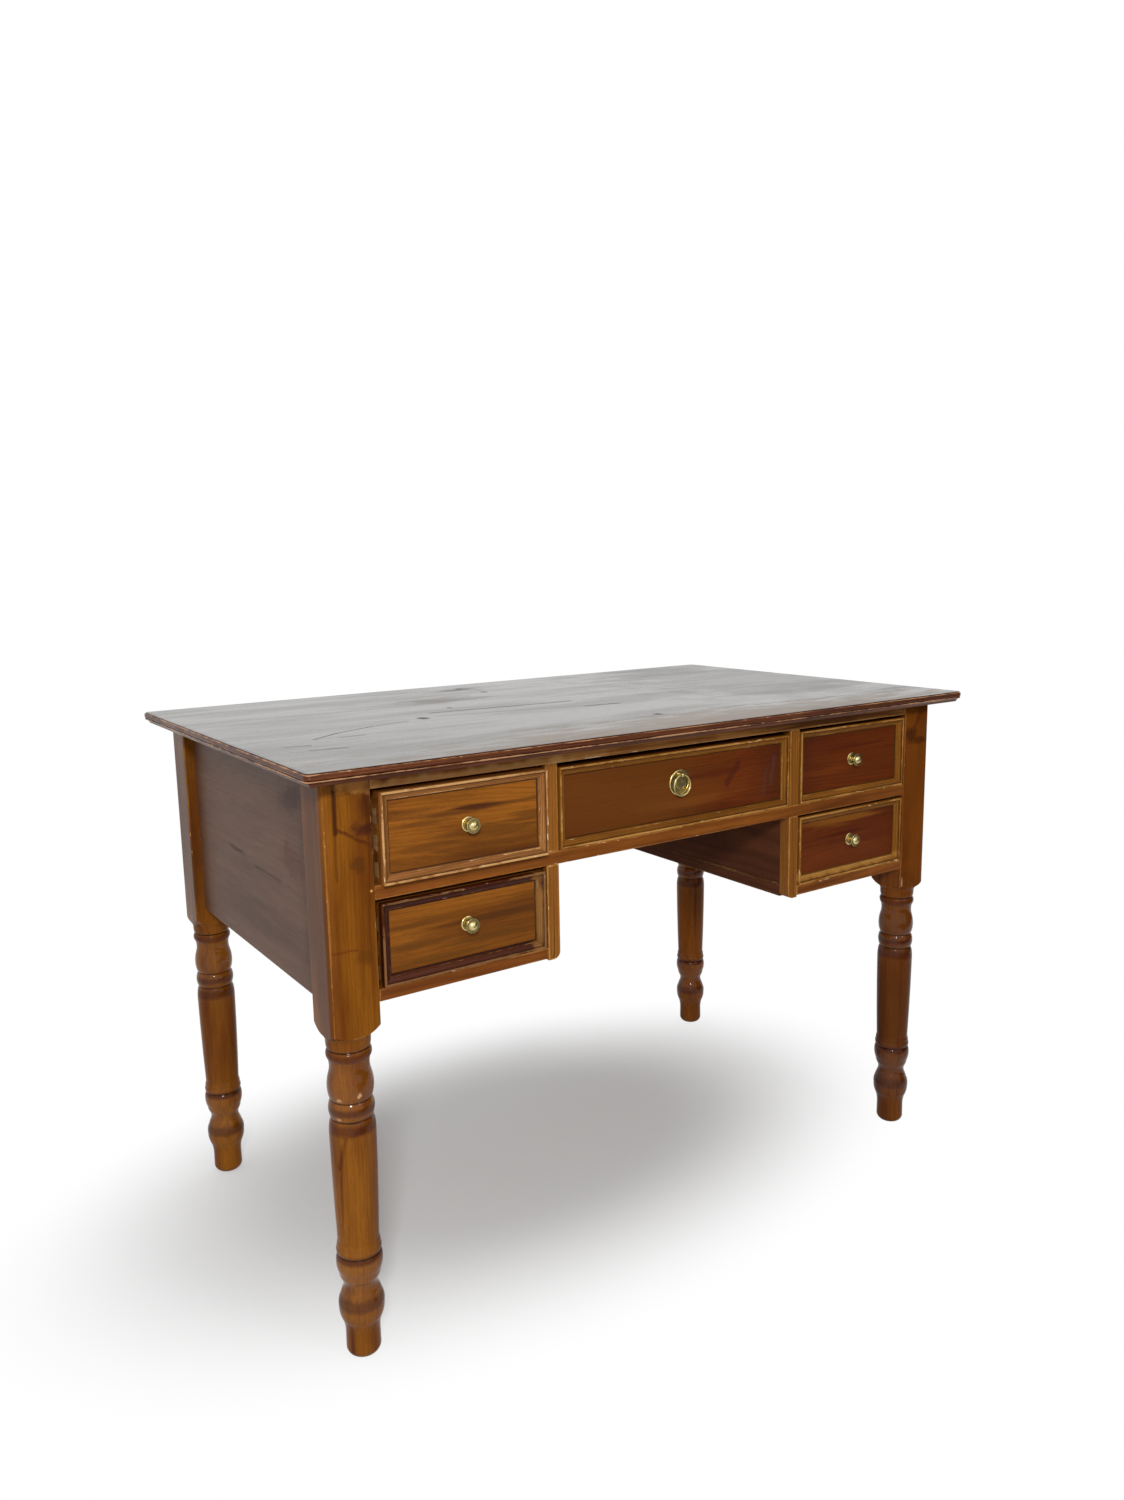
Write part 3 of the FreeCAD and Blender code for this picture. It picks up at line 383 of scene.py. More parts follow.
def make_wear():
    """Where an edge is rubbed: strongest on the edge, broken into patches, with small chips."""
    inputs = {"Edge": 1.0, "Grain": (0.0, 0.0, 0.0), "Reach": 0.003, "Patches": 1.0, "Amount": 1.0}
    group, given, result = new_group("edge_wear", inputs, {"Worn": "Float", "Chips": "Float"})
    near = maths(group, "SUBTRACT", 1.0, maths(group, "DIVIDE", given["Edge"], given["Reach"]), clamp=True)
    broad = mottle(group, given["Grain"], drawn_out(9.0, 40.0), 2.0, 0.6)
    fine = mottle(group, given["Grain"], drawn_out(90.0, 320.0), 3.0, 0.7)
    uneven = maths(group, "MULTIPLY_ADD", fine, 1.2, maths(group, "MULTIPLY", broad, 2.2))
    uneven = maths(group, "SUBTRACT", uneven, 1.7)
    level = maths(group, "MULTIPLY_ADD", uneven, given["Patches"], near)
    worn = maths(group, "MULTIPLY", between(group, level, 0.45, 1.1), between(group, near, 0.0, 0.3))
    group.links.new(maths(group, "MULTIPLY", worn, given["Amount"]), result["Worn"])
    small = mottle(group, given["Grain"], drawn_out(90.0, 330.0), 2.0, 0.5)
    rare = mottle(group, given["Grain"], drawn_out(7.0, 9.0), 1.0, 0.5)
    level = maths(group, "ADD", maths(group, "MULTIPLY", rare, 0.5), small)
    chips = maths(group, "MULTIPLY", between(group, level, 0.93, 0.97), between(group, near, 0.35, 0.55))
    group.links.new(chips, result["Chips"])
    return group


def make_dirt():
    """Where dirt sits: in recesses, thicker and thinner along them. On the top's moulded step the same
    darkening is painted shade.
    """
    group, given, result = new_group("dirt", {"Recess": 0.0, "Place": (0.0, 0.0, 0.0)}, {"Dirt": "Float"})
    uneven = mottle(group, given["Place"], (45.0,) * 3, 3.0, 0.65)
    level = maths(group, "MULTIPLY", given["Recess"], maths(group, "MULTIPLY_ADD", uneven, 1.2, 0.45))
    group.links.new(between(group, level, 0.12, 1.0), result["Dirt"])
    return group


varnish = make_varnish()
edge_wear = make_wear()
dirt = make_dirt()
print("groups for all wood:", varnish.name, edge_wear.name, dirt.name)

# %% [markdown]
# Single marks need two more groups. A mark is a soft spot and a scratch is a thin line, both at
# a place on the desk.

# %% Spots and scratches


def make_spot():
    """A soft-edged spot: 1 inside an ellipsoid about a centre, 0 outside, with a ragged rim."""
    inputs = {"Place": (0.0,) * 3, "Centre": (0.0,) * 3, "Reach": (0.01,) * 3, "Ragged": 0.5}
    inputs["Lumps"] = (150.0,) * 3
    group, given, result = new_group("spot", inputs, {"Mask": "Float"})
    offset = vector_maths(group, "SUBTRACT", given["Place"], given["Centre"])
    away = vector_maths(group, "LENGTH", vector_maths(group, "DIVIDE", offset, given["Reach"]))
    lumps = mottle(group, given["Place"], given["Lumps"], 3.0, 0.55)
    uneven = maths(group, "MULTIPLY", maths(group, "SUBTRACT", lumps, 0.5), given["Ragged"])
    away = maths(group, "MULTIPLY_ADD", uneven, 2.0, away)
    group.links.new(maths(group, "SUBTRACT", 1.0, between(group, away, 0.30, 1.0)), result["Mask"])
    return group


def make_scratch():
    """A thin line between two points, a little crooked.

    The nearest point of the line is its start plus the share of the run that the place's offset
    covers: their dot product over the run's own, held between 0 and 1.
    """
    inputs = {"Place": (0.0,) * 3, "From": (0.0,) * 3, "To": (1.0, 0.0, 0.0), "Width": 0.002, "Crook": 0.003}
    group, given, result = new_group("scratch", inputs, {"Mask": "Float"})
    crook = mottle(group, given["Place"], (35.0,) * 3, 2.0, 0.6, colour=True)
    crook = scaled(group, vector_maths(group, "SUBTRACT", crook, (0.5, 0.5, 0.5)), given["Crook"])
    start = vector_maths(group, "SUBTRACT", vector_maths(group, "ADD", given["Place"], crook), given["From"])
    run = vector_maths(group, "SUBTRACT", given["To"], given["From"])
    along = maths(group, "DIVIDE", vector_maths(group, "DOT_PRODUCT", start, run),
                  vector_maths(group, "DOT_PRODUCT", run, run))
    along = maths(group, "ADD", along, 0.0, clamp=True)
    foot = scaled(group, run, along)
    away = vector_maths(group, "LENGTH", vector_maths(group, "SUBTRACT", start, foot))
    away = maths(group, "DIVIDE", away, given["Width"])
    group.links.new(maths(group, "SUBTRACT", 1.0, between(group, away, 0.3, 1.0)), result["Mask"])
    return group


spot = make_spot()
scratch = make_scratch()
print("groups:", [g.name for g in bpy.data.node_groups])

# %% [markdown]
# ## Building one wood finish
#
# Every wooden piece gets a finish made the same way: its figure, coloured by the varnish,
# then worn edges, dirt and single marks over it. The figure also raises the surface a little,
# because old varnish sinks into the pores and between the rings. Where the varnish has run
# thick, a clear coat lies over the wood. The shader itself stays in the material, with its
# plain values set on its own sockets.

# %% Wood finish
fibre_roughness = 0.12
worn_roughness = 0.15
pore_sink = 0.6
ring_rise = 0.3
relief_height = 0.4 * MM
clear_coat = 0.3
clear_coat_roughness = 0.07


def use(tree, group, inputs):
    """The outputs of a node group placed in a material."""
    return add(tree, "Group", inputs, node_tree=group).outputs


def attribute(tree, name):
    """A measure kept on the piece's points."""
    return add(tree, "Attribute", attribute_name=name).outputs


def wood_finish(name, colours, ring_width=0.005, wander=0.015, rings=0.4, streaks=0.4, wear=0.8,
                wear_reach=0.003, patches=1.0, dirty=0.8, gloss=0.36, dull=0.08, shine=0.1,
                relief=0.25, turn=None, marks=(), mark_dull=0.15, polish=()):
    """A varnished wood. colours are light, middle, dark, streak, worn, dirt and chip.

    Each mark is a group, its place, its colour and its strength. polish is the places where the
    varnish is thick and clear, as spots. turn is given for a packed piece, which has no grain
    of its own: the turn and shift that lay its places along the grain.
    """
    finish = bpy.data.materials.new(name)
    finish.use_nodes = True
    tree = finish.node_tree
    tree.nodes.clear()
    light, middle, dark, streak, worn_colour, dirt_colour, chip = [paint(code) for code in colours]
    place = add(tree, "TexCoord").outputs["Object"]
    if turn is None:
        grain = attribute(tree, "grain")["Vector"]
    else:
        laid = {"Vector": place, "Rotation": turn[0], "Location": turn[1]}
        grain = add(tree, "Mapping", laid).outputs[0]
    figure = use(tree, wood_figure, {"Grain": grain, "Ring Width": ring_width, "Wander": wander})
    inputs = {key: figure[key] for key in ("Rings", "Fibre", "Pores", "Clouds", "Streaks")}
    inputs.update({"Light": light, "Middle": middle, "Dark": dark, "Streak Colour": streak})
    inputs.update({"Ring Strength": rings, "Streak Strength": streaks})
    colour = use(tree, varnish, inputs)["Colour"]
    roughness = maths(tree, "MULTIPLY_ADD", figure["Fibre"], fibre_roughness, gloss - fibre_roughness / 2)
    patch = between(tree, figure["Clouds"], 0.40, 0.65)
    patch = maths(tree, "MAXIMUM", patch, figure["Streaks"])
    roughness = maths(tree, "MULTIPLY_ADD", patch, dull, roughness)
    for kind, where, tint, strength in marks:
        mask = maths(tree, "MULTIPLY", use(tree, kind, {"Place": place, **where})["Mask"], strength)
        colour = blend_colours(tree, mask, colour, paint(tint))
        roughness = maths(tree, "MULTIPLY_ADD", mask, mark_dull, roughness)
    if turn is None:
        # On the top's moulded step the recess measure carries painted shade, darkened here like dirt.
        dirt_and_painted_shade = use(tree, dirt, {"Recess": attribute(tree, "recess")["Fac"], "Place": place})["Dirt"]
        colour = blend_colours(tree, maths(tree, "MULTIPLY", dirt_and_painted_shade, dirty), colour, dirt_colour)
        edge = {"Edge": attribute(tree, "edge")["Fac"], "Grain": grain, "Reach": wear_reach}
        rubbed = use(tree, edge_wear, {**edge, "Patches": patches, "Amount": wear})
        colour = blend_colours(tree, rubbed["Worn"], colour, worn_colour)
        colour = blend_colours(tree, rubbed["Chips"], colour, chip)
        roughness = maths(tree, "MULTIPLY_ADD", rubbed["Worn"], worn_roughness, roughness)
    height = maths(tree, "MULTIPLY_ADD", figure["Pores"], -pore_sink, figure["Fibre"])
    height = maths(tree, "MULTIPLY_ADD", figure["Rings"], ring_rise, height)
    bump = add(tree, "Bump", {"Strength": relief, "Distance": relief_height, "Height": height})
    shader = add(tree, "BsdfPrincipled", {"Base Color": colour, "Roughness": roughness})
    shader.inputs["Specular IOR Level"].default_value = shine
    tree.links.new(bump.outputs[0], shader.inputs["Normal"])
    clear = 0.0
    for where in polish:
        clear = maths(tree, "MAXIMUM", use(tree, spot, {"Place": place, **where})["Mask"], clear)
    if polish:
        tree.links.new(maths(tree, "MULTIPLY", clear, clear_coat), shader.inputs["Coat Weight"])
        shader.inputs["Coat Roughness"].default_value = clear_coat_roughness
    add(tree, "OutputMaterial", {"Surface": shader.outputs[0]})
    return finish


print("one recipe for all wood:", wood_finish.__doc__.splitlines()[0])

# %% [markdown]
# ## The colours of this desk
#
# The frame and legs are orange-brown. The two left drawers are amber with dark streaks, the
# other three redder. The flat side and back panels are dull, and the mouldings olive-gold,
# apart from the lower left drawer's, which are nearly maroon. Inside, the wood is bare.

# %% Colours: light, middle, dark, streak, worn, dirt, chip
frame_colours = ("945620", "6c3812", "4a240c", "381a0c", "a8733a", "22120a", "cfa27c")
stile_colours = ("a2672a", "87521c", "5c3510", "43260f", "b5803f", "28180a", "d9b184")
leg_colours = ("905818", "683610", "46220a", "48200a", "9a6428", "1e0c06", "b98450")
# Painted shade: a darker copy of the leg colours for the two right legs, standing in for the dimmer light at
# the desk's right end.
shaded_right_leg_colours = ("7e4614", "643410", "44220a", "38160a", "8a5226", "180a06", "a87848")
# Painted light: the top rail's colours are paler than the frame's, to keep it bright in the shade under the
# top's overhang.
lit_top_rail_colours = ("c88a4a", "aa7236", "74481e", "583214", "c89460", "28180a", "e0bc94")
# The top's colours are a neutral grey, partly painted reflection of the white that it mirrors at a low
# angle.
top_colours_with_painted_sheen = ("6f6b64", "605c56", "4e4a45", "3e3a37", "75685c", "20150f", "a58468")
rim_colours = ("7c4422", "5a2c17", "34170c", "260f08", "b98a62", "100804", "d8b494")
panel_colours = ("664633", "54392a", "3c291f", "2d1f18", "7f6244", "22160f", "a08468")
inside_colours = ("603620", "522d1c", "3a2012", "2c1a11", "806038", "1c110b", "a07c50")
amber_colours = ("9e5f1e", "744214", "4c280c", "36180c", "b07a3c", "26150a", "cfa27c")
red_colours = ("713412", "60290c", "451a08", "341208", "94602c", "1e0e08", "b08058")
gold_colours = ("b0763e", "945f30", "664019", "48280f", "cc9c64", "2a160a", "e4c4a0")
olive_colours = ("925c20", "7c4c18", "583410", "42240c", "b98646", "28160a", "d0a878")
maroon_colours = ("54260f", "42190b", "2f1006", "240d06", "8a6038", "140704", "b8908c")
bare_colours = ("b48a5c", "9d7448", "7c5432", "634026", "b48a5c", "4a3018", "c8a070")
print("light varnish of the frame:", [round(x, 3) for x in paint(frame_colours[0])])

# %% [markdown]
# Some marks tell this desk from any other: a dark vein over the upper left knob, a wedge of
# dark wood on the front left post, a knot on the right one, a long crack in the top. Each is
# a spot or a scratch at its own place, in metres. Marks on one face share that face's place.

# %% Kinds of mark
frame_face = -0.305
drawer_face = -0.296
open_drawer_face = -0.306
side_face = -0.533
table_face = 0.780


def line_mark(start, end, width, colour, strength, crook=0.003):
    """A thin mark between two points."""
    return scratch, {"From": start, "To": end, "Width": width, "Crook": crook}, colour, strength


def spot_mark(centre, reach, colour, strength, ragged=0.5, lumps=150.0):
    """A soft spot about a point, with its reach along each axis."""
    where = {"Centre": centre, "Reach": reach, "Ragged": ragged, "Lumps": (lumps,) * 3}
    return spot, where, colour, strength


def vein(centre, reach, colour, strength, ragged=1.0, lumps=(11.0, 60.0, 170.0)):
    """A soft dark streak that runs level with the grain and breaks up along it."""
    return spot, {"Centre": centre, "Reach": reach, "Ragged": ragged, "Lumps": lumps}, colour, strength


print("kinds of mark:", spot.name, scratch.name)

# %% [markdown]
# The legs carry the most wear. Chips on the bulbs and rings show bare wood, dirt and old stain
# darken the grooves right round, and the varnish has run thick over the rings, where it shines.

# %% Marks on the legs
all_round = 5.0

# Among these are painted light and shade: a pale spot on the front left post's top, under the overhang, and
# dark spots on the left faces of the two left posts.
post_marks_and_painted_light = [
    line_mark((-0.532, frame_face, 0.762), (-0.532, frame_face, 0.698), 0.0042, "35190f", 0.85, 0.0015),
    line_mark((-0.533, frame_face, 0.698), (-0.533, frame_face, 0.640), 0.0026, "4a260f", 0.50, 0.002),
    spot_mark((-0.494, frame_face, 0.699), (0.030, 0.02, 0.014), "3c1a16", 0.80, 0.9, 45.0),
    line_mark((-0.531, frame_face, 0.704), (-0.485, frame_face, 0.676), 0.0032, "48200f", 0.65, 0.010),
    line_mark((-0.532, frame_face, 0.741), (-0.484, frame_face, 0.742), 0.0022, "5a3014", 0.25, 0.008),
    spot_mark((-0.492, frame_face, 0.722), (0.016, 0.02, 0.026), "43200f", 0.55, 0.8, 50.0),
    line_mark((-0.545, frame_face, 0.553), (-0.512, frame_face, 0.551), 0.0026, "5a2a10", 0.50, 0.008),
    spot_mark((-0.500, frame_face, 0.540), (0.020, 0.02, 0.012), "57300f", 0.50, 0.9, 70.0),
    spot_mark((-0.506, frame_face, 0.655), (0.012, 0.02, 0.016), "4f2c10", 0.60, 0.9, 70.0),
    spot_mark((-0.490, frame_face, 0.621), (0.0024, 0.01, 0.0022), "d8a860", 0.9, 0.2),
    spot_mark((-0.5178, -0.302, 0.3645), (0.0040, 0.006, 0.0040), "d8ac78", 0.70, 1.0, 260.0),
    spot_mark((-0.5393, -0.290, 0.3596), (0.0042, 0.006, 0.0030), "cfa270", 0.65, 1.0, 260.0),
    spot_mark((-0.5402, -0.289, 0.3343), (0.0040, 0.006, 0.0026), "cfa270", 0.50, 1.0, 260.0),
    spot_mark((-0.5179, -0.302, 0.0448), (0.0020, 0.006, 0.0022), "f0dcc0", 0.90, 0.9, 400.0),
    spot_mark((-0.5200, -0.300, 0.3170), (0.0150, 0.020, 0.0060), "44200e", 0.60, 0.9, 70.0),
    # Painted light: pale, where the top's overhang shades the post.
    spot_mark((-0.5050, frame_face, 0.7560), (0.0300, 0.020, 0.0170), "d0904c", 0.60, 0.8, 60.0),
    # Painted shade: the next two darken the left faces of the front and the rear left post.
    spot_mark((-0.5480, -0.270, 0.6000), (0.0060, 0.060, 0.2600), "4a3322", 0.45, 0.5, 30.0),
    spot_mark((-0.5480, 0.275, 0.6000), (0.0200, 0.060, 0.2600), "4a301c", 0.55, 0.5, 30.0),
    line_mark((-0.539, -0.290, 0.300), (-0.543, -0.285, 0.175), 0.0030, "4a200e", 0.55),
    line_mark((-0.534, -0.294, 0.310), (-0.541, -0.287, 0.270), 0.0050, "3c1a0c", 0.50),
]
right_post_marks_and_painted_shade = [
    spot_mark((0.500, frame_face, 0.709), (0.019, 0.02, 0.017), "2a120c", 0.90, 0.7, 70.0),
    spot_mark((0.520, frame_face, 0.699), (0.032, 0.02, 0.008), "30140a", 0.85, 0.8, 60.0),
    line_mark((0.523, frame_face, 0.745), (0.506, frame_face, 0.716), 0.0060, "451a10", 0.60),
    line_mark((0.488, frame_face, 0.700), (0.487, frame_face, 0.620), 0.0030, "451a10", 0.50),
    spot_mark((0.4895, frame_face, 0.453), (0.0022, 0.02, 0.012), "c9a77c", 0.8),
    # Painted shade: a broad dark spot over the front right leg's turned part.
    spot_mark((0.5165, -0.2735, 0.200), (0.100, 0.100, 0.300), "381808", 0.50, 0.3, 20.0),
    spot_mark((0.5165, frame_face, 0.620), (0.080, 0.060, 0.260), "a0581a", 0.16, 0.5, 40.0),
]
ring_marks = [
    spot_mark((0.0, 0.0, 0.4125), (all_round, all_round, 0.0080), "481a0c", 0.65, 0.3),
    spot_mark((0.0, 0.0, 0.3420), (all_round, all_round, 0.0070), "40160a", 0.70, 0.3),
    spot_mark((0.0, 0.0, 0.3190), (all_round, all_round, 0.0110), "40160a", 0.65, 0.4),
    spot_mark((0.0, 0.0, 0.1420), (all_round, all_round, 0.0080), "40160a", 0.75, 0.3),
    spot_mark((0.0, 0.0, 0.0780), (all_round, all_round, 0.0120), "38140a", 0.60, 0.4),
]
ring_polish = [
    {"Centre": (0.0, 0.0, 0.3650), "Reach": (all_round, all_round, 0.0700), "Ragged": 0.4},
    {"Centre": (0.0, 0.0, 0.1050), "Reach": (all_round, all_round, 0.0650), "Ragged": 0.4},
]
print("marks on the legs:", len(post_marks_and_painted_light + right_post_marks_and_painted_shade + ring_marks))

# %% [markdown]
# On the rails and drawer fronts the marks are mostly veins: dark streaks of the wood that run
# along the board and fade out at both ends.

# %% Marks on the rails and drawers
rail_marks_and_painted_light = [
    spot_mark((-0.4700, frame_face, 0.757), (0.014, 0.02, 0.012), "5a2c1a", 0.75, 0.8, 60.0),
    vein((-0.360, frame_face, 0.7560), (0.110, 0.02, 0.0050), "6b3412", 0.60),
    # Painted light: a long pale spot on the top rail's upper part, in the shade under the overhang.
    spot_mark((-0.330, frame_face, 0.7450), (0.260, 0.03, 0.0120), "ecb878", 0.45, 0.8, 40.0),
    vein((-0.060, frame_face, 0.7520), (0.150, 0.02, 0.0045), "70340f", 0.55),
    vein((0.300, frame_face, 0.7530), (0.230, 0.02, 0.0100), "4e2410", 0.75),
]
amber_marks = [
    vein((-0.425, open_drawer_face, 0.6930), (0.062, 0.02, 0.0050), "5a3410", 0.55),
    vein((-0.385, open_drawer_face, 0.7010), (0.050, 0.02, 0.0045), "4c2a10", 0.60),
    vein((-0.338, open_drawer_face, 0.7045), (0.048, 0.02, 0.0055), "3a1a10", 0.85, 0.8),
    vein((-0.285, open_drawer_face, 0.7035), (0.060, 0.02, 0.0045), "523010", 0.60),
    vein((-0.330, open_drawer_face, 0.6720), (0.095, 0.02, 0.0110), "583410", 0.55),
    vein((-0.268, open_drawer_face, 0.6830), (0.040, 0.02, 0.0110), "523210", 0.55),
    vein((-0.400, open_drawer_face, 0.6640), (0.080, 0.02, 0.0060), "5c3410", 0.50),
    vein((-0.320, open_drawer_face, 0.6550), (0.100, 0.02, 0.0060), "5c3410", 0.50),
    vein((-0.430, drawer_face, 0.5640), (0.075, 0.02, 0.0070), "54300f", 0.60),
    vein((-0.310, drawer_face, 0.5540), (0.100, 0.02, 0.0075), "4a2a0f", 0.70),
    vein((-0.430, drawer_face, 0.5390), (0.080, 0.02, 0.0080), "583610", 0.55),
    vein((-0.320, drawer_face, 0.5300), (0.100, 0.02, 0.0085), "583610", 0.55),
    vein((-0.380, drawer_face, 0.5150), (0.120, 0.02, 0.0060), "5c3810", 0.50),
]
red_marks = [
    line_mark((0.114, drawer_face, 0.704), (0.093, drawer_face, 0.677), 0.0080, "3a1014", 0.50, 0.006),
    line_mark((0.190, drawer_face, 0.706), (0.184, drawer_face, 0.664), 0.0050, "5c4a50", 0.40, 0.006),
    line_mark((0.173, drawer_face, 0.690), (0.167, drawer_face, 0.652), 0.0040, "5a464a", 0.30, 0.006),
    spot_mark((-0.110, drawer_face, 0.685), (0.250, 0.02, 0.130), "684012", 0.50, 0.3, 20.0),
    spot_mark((0.215, drawer_face, 0.680), (0.100, 0.02, 0.110), "2c140e", 0.40, 0.3, 20.0),
    vein((0.060, drawer_face, 0.6950), (0.100, 0.02, 0.0090), "4a1c0a", 0.55),
    vein((0.020, drawer_face, 0.6600), (0.120, 0.02, 0.0100), "7a4416", 0.45),
    vein((0.345, drawer_face, 0.5880), (0.110, 0.02, 0.0150), "8a541a", 0.75, 0.7),
    vein((0.340, drawer_face, 0.5620), (0.110, 0.02, 0.0060), "401208", 0.60),
    vein((0.370, drawer_face, 0.7050), (0.100, 0.02, 0.0080), "4c1a0c", 0.60),
    vein((0.330, drawer_face, 0.6700), (0.090, 0.02, 0.0070), "74380f", 0.50),
]
maroon_marks = [
    spot_mark((-0.250, frame_face, 0.547), (0.014, 0.03, 0.110), "9a6a34", 0.75, 0.6, 60.0),
]
olive_marks_painted_light = [
    # Painted light: pale strips along the bottom lengths of these mouldings, whose slopes face up to the
    # lamps.
    spot_mark((0.000, frame_face, 0.6210), (0.600, 0.03, 0.0100), "c08840", 0.35, 0.6, 50.0),
    spot_mark((0.340, frame_face, 0.5070), (0.300, 0.03, 0.0100), "d09a50", 0.55, 0.6, 50.0),
]
print("marks on rails and drawers:", len(rail_marks_and_painted_light + amber_marks + red_marks))

# %% [markdown]
# The left side panel has stains. The top has a crack that crosses it in short lengths, knots,
# and a paler brown strip along its front edge.

# %% Marks on the side panel and the top
along_panel = (60.0, 30.0, 170.0)
panel_marks = [
    vein((side_face, 0.065, 0.6040), (0.02, 0.060, 0.0040), "2c1c18", 0.60, 0.8, along_panel),
    vein((side_face, -0.060, 0.5960), (0.02, 0.090, 0.0030), "2c1c18", 0.40, 1.0, along_panel),
    spot_mark((side_face, -0.160, 0.7150), (0.02, 0.050, 0.0300), "2e2026", 0.45, 0.9, 30.0),
    spot_mark((side_face, -0.165, 0.6350), (0.02, 0.060, 0.0250), "4a2420", 0.35, 0.9, 30.0),
    spot_mark((side_face, -0.230, 0.6200), (0.02, 0.070, 0.2500), "30241c", 0.35, 0.5, 20.0),
]
streaky = drawn_out(14.0, 70.0)
top_marks = [
    line_mark((-0.476, -0.112, table_face), (-0.430, -0.080, table_face), 0.0032, "2a1c17", 0.7),
    line_mark((-0.430, -0.080, table_face), (-0.363, -0.052, table_face), 0.0032, "2a1c17", 0.7),
    line_mark((-0.363, -0.052, table_face), (-0.300, -0.038, table_face), 0.0028, "2a1c17", 0.6),
    line_mark((-0.241, -0.019, table_face), (0.058, -0.083, table_face), 0.0022, "2a1c17", 0.6),
    spot_mark((-0.269, -0.026, table_face), (0.012, 0.016, 0.01), "1a1210", 0.95, 0.3),
    vein((-0.051, 0.264, table_face), (0.060, 0.030, 0.01), "3a2622", 0.50, 1.2, streaky),
    vein((-0.139, 0.155, table_face), (0.110, 0.050, 0.01), "5a443a", 0.35, 1.2, streaky),
    line_mark((-0.232, 0.019, table_face), (0.013, -0.005, table_face), 0.0055, "2a1c17", 0.60),
    line_mark((-0.006, -0.073, table_face), (0.057, -0.080, table_face), 0.0050, "2a1c17", 0.65),
    spot_mark((-0.038, 0.278, table_face), (0.008, 0.012, 0.01), "241a16", 0.80, 0.3),
    spot_mark((-0.028, 0.205, table_face), (0.008, 0.012, 0.01), "241a16", 0.80, 0.3),
    spot_mark((0.021, -0.222, table_face), (0.010, 0.011, 0.01), "2a1e1a", 0.85, 0.3),
    spot_mark((-0.180, 0.055, table_face), (0.006, 0.010, 0.01), "2a1e1a", 0.70, 0.3),
    line_mark((-0.530, -0.150, table_face), (-0.500, -0.156, table_face), 0.0050, "4c4641", 0.45, 0.010),
    line_mark((-0.512, -0.192, table_face), (-0.470, -0.203, table_face), 0.0045, "48403a", 0.50, 0.010),
    line_mark((-0.440, -0.120, table_face), (-0.405, -0.118, table_face), 0.0045, "48403a", 0.40, 0.010),
    vein((0.100, -0.330, table_face), (0.700, 0.110, 0.01), "9a8068", 0.45, 1.2, streaky),
    spot_mark((0.420, 0.050, table_face), (0.300, 0.450, 0.01), "3c3a34", 0.16, 1.0, 14.0),
]
print("marks on the top:", len(top_marks))

# %% [markdown]
# Each finish below is the one recipe with its own colours and strengths. Legs are glossy and
# streaky, panels dull, and the top worn but smooth, so that it mirrors the white surroundings
# at a low angle.

# %% Finishes
frame_finish = wood_finish("varnished_frame", frame_colours, rings=0.35, streaks=0.4)
stile_finish = wood_finish("varnished_stile", stile_colours, rings=0.35, streaks=0.4)
# Painted light: the top rail's finish is a paler copy of the frame's, for the shade under the overhang.
lit_top_rail_finish = wood_finish("varnished_top_rail_painted_light", lit_top_rail_colours, rings=0.35, streaks=0.45,
                              marks=rail_marks_and_painted_light)
leg_look = dict(streaks=0.8, dirty=0.9, gloss=0.15, dull=0.04, shine=0.05, relief=0.10, polish=ring_polish)
leg_finish = wood_finish("varnished_leg", leg_colours, rings=0.15, marks=post_marks_and_painted_light + ring_marks, **leg_look)
shaded_right_leg_finish = wood_finish("dark_leg", shaded_right_leg_colours, rings=0.2,
                               marks=right_post_marks_and_painted_shade + ring_marks, **leg_look)
top_finish = wood_finish("worn_top", top_colours_with_painted_sheen, ring_width=0.007, rings=0.22, streaks=0.2, gloss=0.20,
                         dull=0.08, shine=1.0, relief=0.10, marks=top_marks, mark_dull=0.45)
rim_finish = wood_finish("moulded_rim", rim_colours, ring_width=0.0028, rings=0.55, wear=0.9,
                         wear_reach=0.0017, patches=1.7, dirty=0.9, gloss=0.26, shine=0.12)
panel_finish = wood_finish("dull_panel", panel_colours, ring_width=0.009, rings=0.12, streaks=0.15,
                           gloss=0.42, dull=0.03, shine=0.10, relief=0.15, marks=panel_marks)
inside_finish = wood_finish("kneehole_wall", inside_colours, ring_width=0.008, gloss=0.5, shine=0.05)
gold_moulding = wood_finish("gold_moulding", gold_colours, rings=0.3, streaks=0.35, wear=0.9, patches=1.4,
                            dirty=0.85)
olive_moulding = wood_finish("olive_moulding", olive_colours, rings=0.3, streaks=0.2, wear=0.85, patches=1.3,
                             shine=0.04, marks=olive_marks_painted_light)
maroon_moulding = wood_finish("maroon_moulding", maroon_colours, rings=0.3, streaks=0.2, wear=0.75,
                              patches=1.8, gloss=0.28, shine=0.12, marks=maroon_marks)
flat = ((0.0, 0.0, 0.0), (0.3, 0.335, -0.62))
amber_front = wood_finish("amber_front", amber_colours, ring_width=0.006, rings=0.22, streaks=0.45,
                          wander=0.03, turn=flat, marks=amber_marks)
red_front = wood_finish("red_front", red_colours, ring_width=0.004, rings=0.3, streaks=0.4,
                        wander=0.03, turn=flat, marks=red_marks)
along_depth = ((0.0, 0.0, math.pi / 2), (0.0, 0.8, -0.55))
bare_across = wood_finish("bare_wood_across", bare_colours, gloss=0.6, turn=flat)
bare_deep = wood_finish("bare_wood_along", bare_colours, gloss=0.6, turn=along_depth)
print(len(bpy.data.materials), "finishes")

# %% [markdown]
# ## Metal finishes
#
# The brass has gone yellow-green with age and is bright only where fingers touch it. Steel
# screws hold the top from below.

# %% Brass and steel
tarnish_roughness = 0.22


